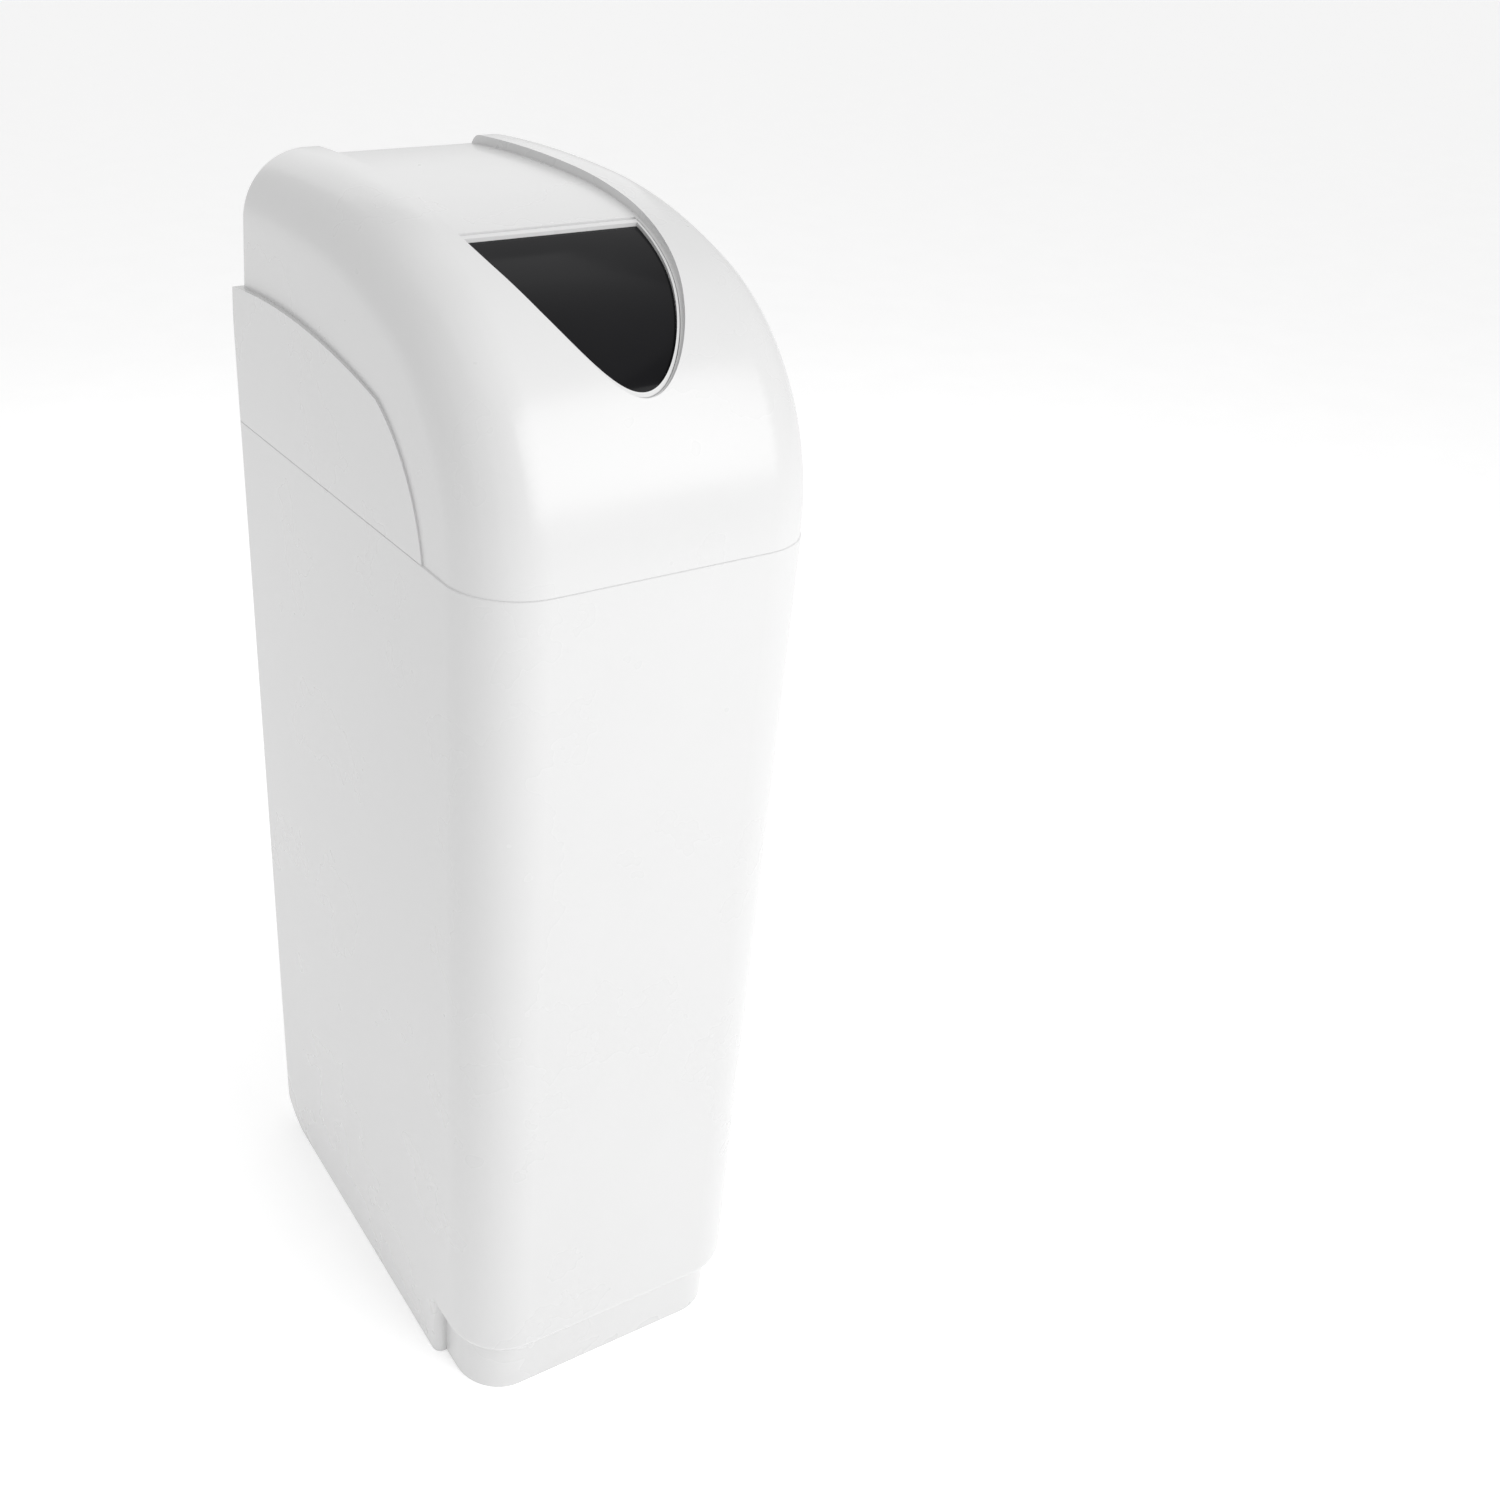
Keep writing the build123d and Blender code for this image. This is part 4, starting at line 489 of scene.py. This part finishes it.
node_finish = {
    "cabinet_body": "white", "hood": "white", "hatch_frame": "white", "hatch_pane": "smoked",
    "hatch_hinge_pins": "steel", "resin_tank": "vessel", "tank_boot": "black", "riser_tube": "grey",
    "lower_basket": "natural", "upper_basket": "natural", "resin_bed": "beads", "valve_body": "black",
    "tank_o_ring": "rubber", "seal_stack": "rubber", "end_plug": "black", "valve_piston": "natural",
    "mixing_nut": "black", "mixing_screw": "black", "drain_fitting": "black", "brine_nut": "black",
    "front_bezel": "cover_black", "front_plate": "print", "trim_ring": "teal",
    "back_cover": "cover_black", "cover_badge": "white_print", "drive_bracket": "steel",
    "bracket_screws": "steel", "drive_motor": "steel", "drive_shaft": "natural", "day_gear": "gear_black",
    "red_pinion": "red", "pinion_carrier": "gear_black", "regen_knob": "knob_black",
    "knob_plate": "silver", "program_wheel": "gear_black", "capacity_dial": "clear",
    "dial_hub": "knob_black", "meter_housing": "black", "meter_pinion": "gear_black",
    "green_lens": "green_lens", "red_lens": "red_lens", "bypass_body": "black", "inlet_rotor": "black",
    "outlet_rotor": "black", "bypass_clips": "steel", "clip_screws": "steel", "side_port_plugs": "black",
    "spigot_o_rings": "rubber", "brine_well": "natural", "brine_well_cap": "white", "brine_line": "tube",
    "float_valve": "natural", "air_check": "natural", "float_rod": "steel", "brine_float": "natural",
    "overflow_elbow": "black", "overflow_nut": "black",
}

node_body = {}
for body, members in frame["record"]["behaviour"]["bodies"].items():
    for member in members:
        node_body[member] = body

# Shown nodes, with the width in millimetres to which their edges are rounded. Any other node keeps its
# own mesh, since it lies inside another
edge_rounding = {
    "cabinet_body": 0.7, "hood": 0.6, "hatch_frame": 0.3, "hatch_pane": 0.2, "hatch_hinge_pins": 0.2,
    "resin_tank": 0.0, "tank_boot": 0.8, "valve_body": 0.5, "end_plug": 0.4, "mixing_nut": 0.5,
    "mixing_screw": 0.4, "drain_fitting": 0.4, "brine_nut": 0.4, "front_bezel": 1.0, "front_plate": 0.0,
    "trim_ring": 0.3, "back_cover": 0.6, "cover_badge": 0.25, "drive_bracket": 0.3,
    "bracket_screws": 0.3, "drive_motor": 0.8, "drive_shaft": 0.3, "day_gear": 0.0, "red_pinion": 0.0,
    "pinion_carrier": 0.4, "regen_knob": 0.9, "knob_plate": 0.15, "program_wheel": 0.0,
    "capacity_dial": 0.3, "dial_hub": 0.9, "meter_housing": 0.2, "meter_pinion": 0.0, "green_lens": 2.4,
    "red_lens": 2.4, "bypass_body": 0.5, "inlet_rotor": 0.5, "outlet_rotor": 0.5, "bypass_clips": 0.4,
    "clip_screws": 0.3, "side_port_plugs": 0.4, "spigot_o_rings": 0.8, "brine_well": 0.0,
    "brine_well_cap": 0.9, "brine_line": 0.0, "float_valve": 0.4, "overflow_elbow": 0.5,
    "overflow_nut": 0.5,
}

SHARP_ANGLE = math.radians(30)
FLAT_ANGLE = 0.0008
WELD_DISTANCE = 0.01 * MM
SLIVER_LENGTH = 0.002 * MM
BROAD_ROUNDING = 2


# Smooth-shaded copy of a CAD node, with its edges rounded
def smooth_copy(node, rounding):
    shape = bmesh.new()
    shape.from_mesh(nodes[node].data)
    bmesh.ops.remove_doubles(shape, verts=shape.verts, dist=WELD_DISTANCE)
    bmesh.ops.dissolve_degenerate(shape, edges=shape.edges, dist=SLIVER_LENGTH)
    bmesh.ops.dissolve_limit(shape, angle_limit=FLAT_ANGLE, verts=shape.verts, edges=shape.edges)
    for edge in shape.edges:
        edge.smooth = len(edge.link_faces) == 2 and edge.calc_face_angle(0) < SHARP_ANGLE
    for face in shape.faces:
        face.smooth = True
    piece = hold_piece(node + "_skin", shape, node_finish[node], node_body[node])
    if rounding:
        bevel = piece.modifiers.new("rounding", "BEVEL")
        bevel.width = rounding * MM
        bevel.segments = 4 if rounding > BROAD_ROUNDING else 2
        bevel.limit_method = "ANGLE"
        bevel.angle_limit = SHARP_ANGLE
        bevel.harden_normals = True
    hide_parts(node)


# Makes a shape a piece of the scene that moves with a body
def hold_piece(name, shape, finish, body):
    mesh = bpy.data.meshes.new(name)
    shape.to_mesh(mesh)
    shape.free()
    piece = bpy.data.objects.new(name, mesh)
    bpy.context.scene.collection.objects.link(piece)
    mesh.materials.append(finishes[finish])
    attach(piece, body)
    return piece


for node, finish in node_finish.items():
    if node in edge_rounding:
        smooth_copy(node, edge_rounding[node])
    else:
        nodes[node].data.materials.clear()
        nodes[node].data.materials.append(finishes[finish])

# Places of the marks in millimetres: axes across and up, and the depths that the marks lie on
GEAR_ACROSS, _, GEAR_UP = axis_of("day_gear_turn")
WHEEL_ACROSS, _, WHEEL_UP = axis_of("program_wheel_turn")
PLATE_FRONT = front_of("front_plate")
GRIP_RISE = 7.5
KNOB_DISC_FRONT = front_of("regen_knob") + GRIP_RISE
DIAL_RING_RISE = 4.0
DIAL_FACE_FRONT = front_of("capacity_dial") + DIAL_RING_RISE
PRINT = 0.12
LETTER_WELD = 0.0001


# Flat shapes for the marks, in millimetres
def round_patch(radius, segments=48):
    shape = bmesh.new()
    bmesh.ops.create_circle(shape, cap_ends=True, segments=segments, radius=radius)
    return shape


def ring_patch(outer, inner, segments=64):
    shape = bmesh.new()
    bmesh.ops.create_circle(shape, segments=segments, radius=outer)
    bmesh.ops.create_circle(shape, segments=segments, radius=inner)
    bmesh.ops.bridge_loops(shape, edges=shape.edges)
    return shape


def block_patch(width, height, rounding=0.0):
    shape = bmesh.new()
    bmesh.ops.create_grid(shape, x_segments=1, y_segments=1, size=0.5)
    bmesh.ops.scale(shape, vec=(width, height, 1), verts=shape.verts)
    if rounding:
        bmesh.ops.bevel(
            shape, geom=shape.verts, offset=rounding, affect="VERTICES", segments=5, profile=0.5, material=-1
        )
    return shape


# White drop around a lens, round at the left and drawn to a blunt point at the right
def drop_patch(height, length):
    shape = round_patch(height / 2, 64)
    stretch = length * 2 / height - 1
    pinch = 0.16
    for vert in shape.verts:
        share = max(0, vert.co.x * 2 / height)
        vert.co.x *= stretch if vert.co.x > 0 else 1
        vert.co.y *= 1 - pinch * share
    return shape


# Adds a second shape to a flat shape, moved and turned in its plane
def add_patch(shape, extra, across=0.0, up=0.0, turn=0.0):
    place = Matrix.Translation((across, up, 0)) @ Matrix.Rotation(math.radians(turn), 4, "Z")
    bmesh.ops.transform(extra, matrix=place, verts=extra.verts)
    held = bpy.data.meshes.new("held")
    extra.to_mesh(held)
    extra.free()
    shape.from_mesh(held)
    bpy.data.meshes.remove(held)


# Place at a distance from a centre, its angle read as on a clock
def clock_place(reach, angle):
    return reach * math.sin(math.radians(angle)), reach * math.cos(math.radians(angle))


# Stands a flat shape up so that it faces the front, at a place in millimetres
def face_front(shape, across, up, depth, turn):
    stand = Matrix.Rotation(math.radians(90), 4, "X") @ Matrix.Rotation(math.radians(turn), 4, "Z")
    place = Matrix.Scale(MM, 4) @ Matrix.Translation((across, depth, up)) @ stand
    bmesh.ops.transform(shape, matrix=place, verts=shape.verts)


# Thin printed or moulded mark that faces the front, with its back at the given depth
def front_mark(name, shape, across, up, depth, finish, body, thickness=PRINT, turn=0.0):
    grown = bmesh.ops.extrude_face_region(shape, geom=shape.faces)
    raised = [item for item in grown["geom"] if isinstance(item, bmesh.types.BMVert)]
    bmesh.ops.translate(shape, vec=(0, 0, thickness), verts=raised)
    bmesh.ops.recalc_face_normals(shape, faces=shape.faces)
    face_front(shape, across, up, depth, turn)
    hold_piece(name, shape, finish, body)


# Mark on the front plate, placed from the day gear's axis, above a number of layers of print
def plate_mark(name, shape, across, up, finish, layers=0.0, turn=0.0):
    depth = PLATE_FRONT - layers * PRINT
    front_mark(name, shape, GEAR_ACROSS + across, GEAR_UP + up, depth, finish, "cabinet", turn=turn)


def numeral(name, text, size, across, up, depth, finish, body, turn):
    curve = bpy.data.curves.new(name, "FONT")
    curve.body = text
    curve.size = size
    curve.align_x = "CENTER"
    curve.align_y = "CENTER"
    curve.extrude = PRINT / 2
    letters = bpy.data.objects.new(name + "_line", curve)
    bpy.context.scene.collection.objects.link(letters)
    mesh = bpy.data.meshes.new_from_object(letters)
    bpy.data.objects.remove(letters)
    shape = bmesh.new()
    shape.from_mesh(mesh)
    bpy.data.meshes.remove(mesh)
    bmesh.ops.remove_doubles(shape, verts=shape.verts, dist=LETTER_WELD)
    face_front(shape, across, up, depth, turn)
    hold_piece(name, shape, finish, body)


# White drops around the two lenses, with a mark beside each lens
def print_drops():
    plate_mark("green_drop", drop_patch(19.5, 27.5), -79.5, 20.3, "white_print")
    plate_mark("red_drop", drop_patch(18.6, 27.5), -77.0, -15.8, "white_print")
    plate_mark("green_dot", round_patch(2.5), -69.2, 21.2, "green_print", 1)
    plate_mark("black_dot", round_patch(3.1), -66.0, 20.6, "black_print", 1.5)
    sun = ring_patch(2.5, 1.9, 24)
    rays, ray_reach, ray_lean = 8, 3.3, 28
    for index in range(rays):
        angle = 360 / rays * index
        add_patch(sun, block_patch(1.7, 0.7), *clock_place(ray_reach, 90 - angle), angle + ray_lean)
    plate_mark("red_sun", sun, -64.4, -15.6, "red_print", 1)


# White disc with a bar and its two screws, and a coloured dot beside it
def print_sign(name, across, up, turn, dot):
    disc_radius, screw_reach = 6.8, 3.3
    plate_mark(name + "_disc", round_patch(disc_radius), across, up, "white_print")
    plate_mark(name + "_bar_line", block_patch(2.9, 9.6, 0.4), across, up, "black_print", 1, turn)
    plate_mark(name + "_bar", block_patch(2.4, 9.1, 0.3), across, up, "white_print", 1.5, turn)
    tips = bmesh.new()
    for side in (-1, 1):
        add_patch(tips, round_patch(0.75, 16), 0, side * screw_reach)
    plate_mark(name + "_bar_tips", tips, across, up, "black_print", 2, turn)
    plate_mark(name + "_dot", round_patch(0.9, 20), across - 5.0, up + 0.6, dot, 1)
    plate_mark(name + "_mark", round_patch(0.8, 20), across - 3.8, up + 0.5, "black_print", 1.5)


# Framed dial with its pointer, and a leader towards the wheel
def print_meter_sign():
    sign = bmesh.new()
    width, height, line = 12.6, 7.2, 0.5
    half_width, half_height = 6.2, height / 2
    for side in (-1, 1):
        add_patch(sign, block_patch(width, line), 0, side * half_height)
        add_patch(sign, block_patch(line, height), side * half_width, 0)
    add_patch(sign, block_patch(0.4, 5.6), 0.6, -0.4, -14)
    add_patch(sign, block_patch(3.6, 0.9), 6.9, -4.9, -55)
    tick_reach, tick_centre = 5.4, -3.4
    for angle in range(-60, 61, 15):
        across, up = clock_place(tick_reach, angle)
        add_patch(sign, block_patch(0.3, 0.9), across, tick_centre + up, -angle)
    plate_mark("meter_sign", sign, 33.0, 37.4, "black_print")


# White clock and dot on the pointer tab
def print_clock():
    tab_front = front_of("front_bezel")
    clock = ring_patch(4.5, 3.75, 48)
    add_patch(clock, block_patch(0.8, 3.4, 0.2), -1.1, 0.8, 42)
    add_patch(clock, block_patch(0.8, 3.0, 0.2), 1.2, 0.6, -52)
    dot = round_patch(0.7, 20)
    for name, shape, up in (("clock_sign", clock, -41.4), ("pointer_dot", dot, -33.6)):
        front_mark(name, shape, GEAR_ACROSS, GEAR_UP + up, tab_front, "white_print", "cabinet")


# Arrows, status mark and index of the regeneration knob
def print_knob():
    arrow_shift, arrow_reach = 0.6, 17.6
    for name, side in (("upper_arrow", 1), ("lower_arrow", -1)):
        front_mark(
            name, round_patch(4.1, 3), GEAR_ACROSS - side * arrow_shift, GEAR_UP + side * arrow_reach,
            front_of("knob_plate"), "black_print", "regen_drive", turn=-90 * side,
        )
    # Name, shape, across, up, finish, thickness and turn
    disc_marks = (
        ("knob_green_dot", round_patch(2.0, 24), -25.3, -1.6, "green_print", PRINT, 0),
        ("knob_ring", ring_patch(2.5, 1.9, 32), -22.3, -1.6, "white_print", PRINT * 2, 0),
        ("knob_index", block_patch(6.6, 0.45), -23.6, -6.2, "gear_black", 0.35, 4),
    )
    for name, shape, across, up, finish, thickness, turn in disc_marks:
        front_mark(
            name, shape, GEAR_ACROSS + across, GEAR_UP + up, KNOB_DISC_FRONT, finish, "regen_drive",
            thickness=thickness, turn=turn,
        )
    front_mark(
        "day_mark", block_patch(5.6, 7.0, 0.3), GEAR_ACROSS - 32.6, GEAR_UP + 1.0, front_of("day_gear"),
        "blue_print", "day_gear", thickness=0.3,
    )


# Numerals of the capacity dial with their angles, read as on a clock
dial_numerals = {"4": -62, "3": -24, "2": 16, "1": 56, "9": 96, "8": 136, "7": 176, "6": -142, "5": -102}
NUMERAL_REACH = 19.75
NUMERAL_SIZE = 3.1
TICK_REACH = 22.35
TICK_COUNT = 100
LONG_TICK = 1.7
SHORT_TICK = 1.1
LONG_TICK_STEP = 5


# Scale of the capacity dial, and the index dot of the wheel
def print_scale():
    scale = bmesh.new()
    for index in range(TICK_COUNT):
        angle = 360 / TICK_COUNT * index
        length = LONG_TICK if index % LONG_TICK_STEP == 0 else SHORT_TICK
        add_patch(scale, block_patch(0.26, length), *clock_place(TICK_REACH - length / 2, angle), -angle)
    front_mark(
        "dial_scale", scale, WHEEL_ACROSS, WHEEL_UP, DIAL_FACE_FRONT, "white_print", "capacity_dial",
        thickness=0.06,
    )
    for text, angle in dial_numerals.items():
        across, up = clock_place(NUMERAL_REACH, angle)
        numeral(
            "scale_" + text, text, NUMERAL_SIZE, WHEEL_ACROSS + across, WHEEL_UP + up, DIAL_FACE_FRONT - 0.05,
            "white_print", "capacity_dial", -angle,
        )
    front_mark(
        "wheel_dot", round_patch(0.9, 24), WHEEL_ACROSS - 18.6, WHEEL_UP + 18.2,
        front_of("program_wheel"), "white_print", "program_wheel",
    )


# Blank label of the bypass, and the grey edge of the badge on the cover's sloping top
def add_labels():
    waist_reach, label_up = 12.0, 938.0
    waist_front = axis_of("inlet_rotor_turn")[1] - waist_reach
    front_mark(
        "bypass_label", block_patch(11.0, 26.0, 2.0), 0.0, label_up, waist_front, "white_print", "cabinet",
        thickness=0.2,
    )
    cover_fall, cover_length, edge_rise = 14.0, 95.0, 0.35
    lean = math.atan(cover_fall / cover_length)
    edge = ring_patch(15.2, 14.7, 96)
    bmesh.ops.extrude_face_region(edge, geom=edge.faces)
    centre = middle_of("cover_badge") + Vector((0, 0, edge_rise * MM))
    place = Matrix.Translation(centre) @ Matrix.Rotation(-lean, 4, "X") @ Matrix.Scale(MM, 4)
    bmesh.ops.transform(edge, matrix=place, verts=edge.verts)
    hold_piece("badge_edge", edge, "grey", "cabinet")


print_drops()
print_sign("run_sign", -52.6, -29.7, 0, "green_print")
print_sign("wash_sign", -31.8, -29.0, -28, "red_print")
print_meter_sign()
print_clock()
print_knob()
print_scale()
add_labels()
place_camera()
light_studio()
lay_floor(finishes["floor"])
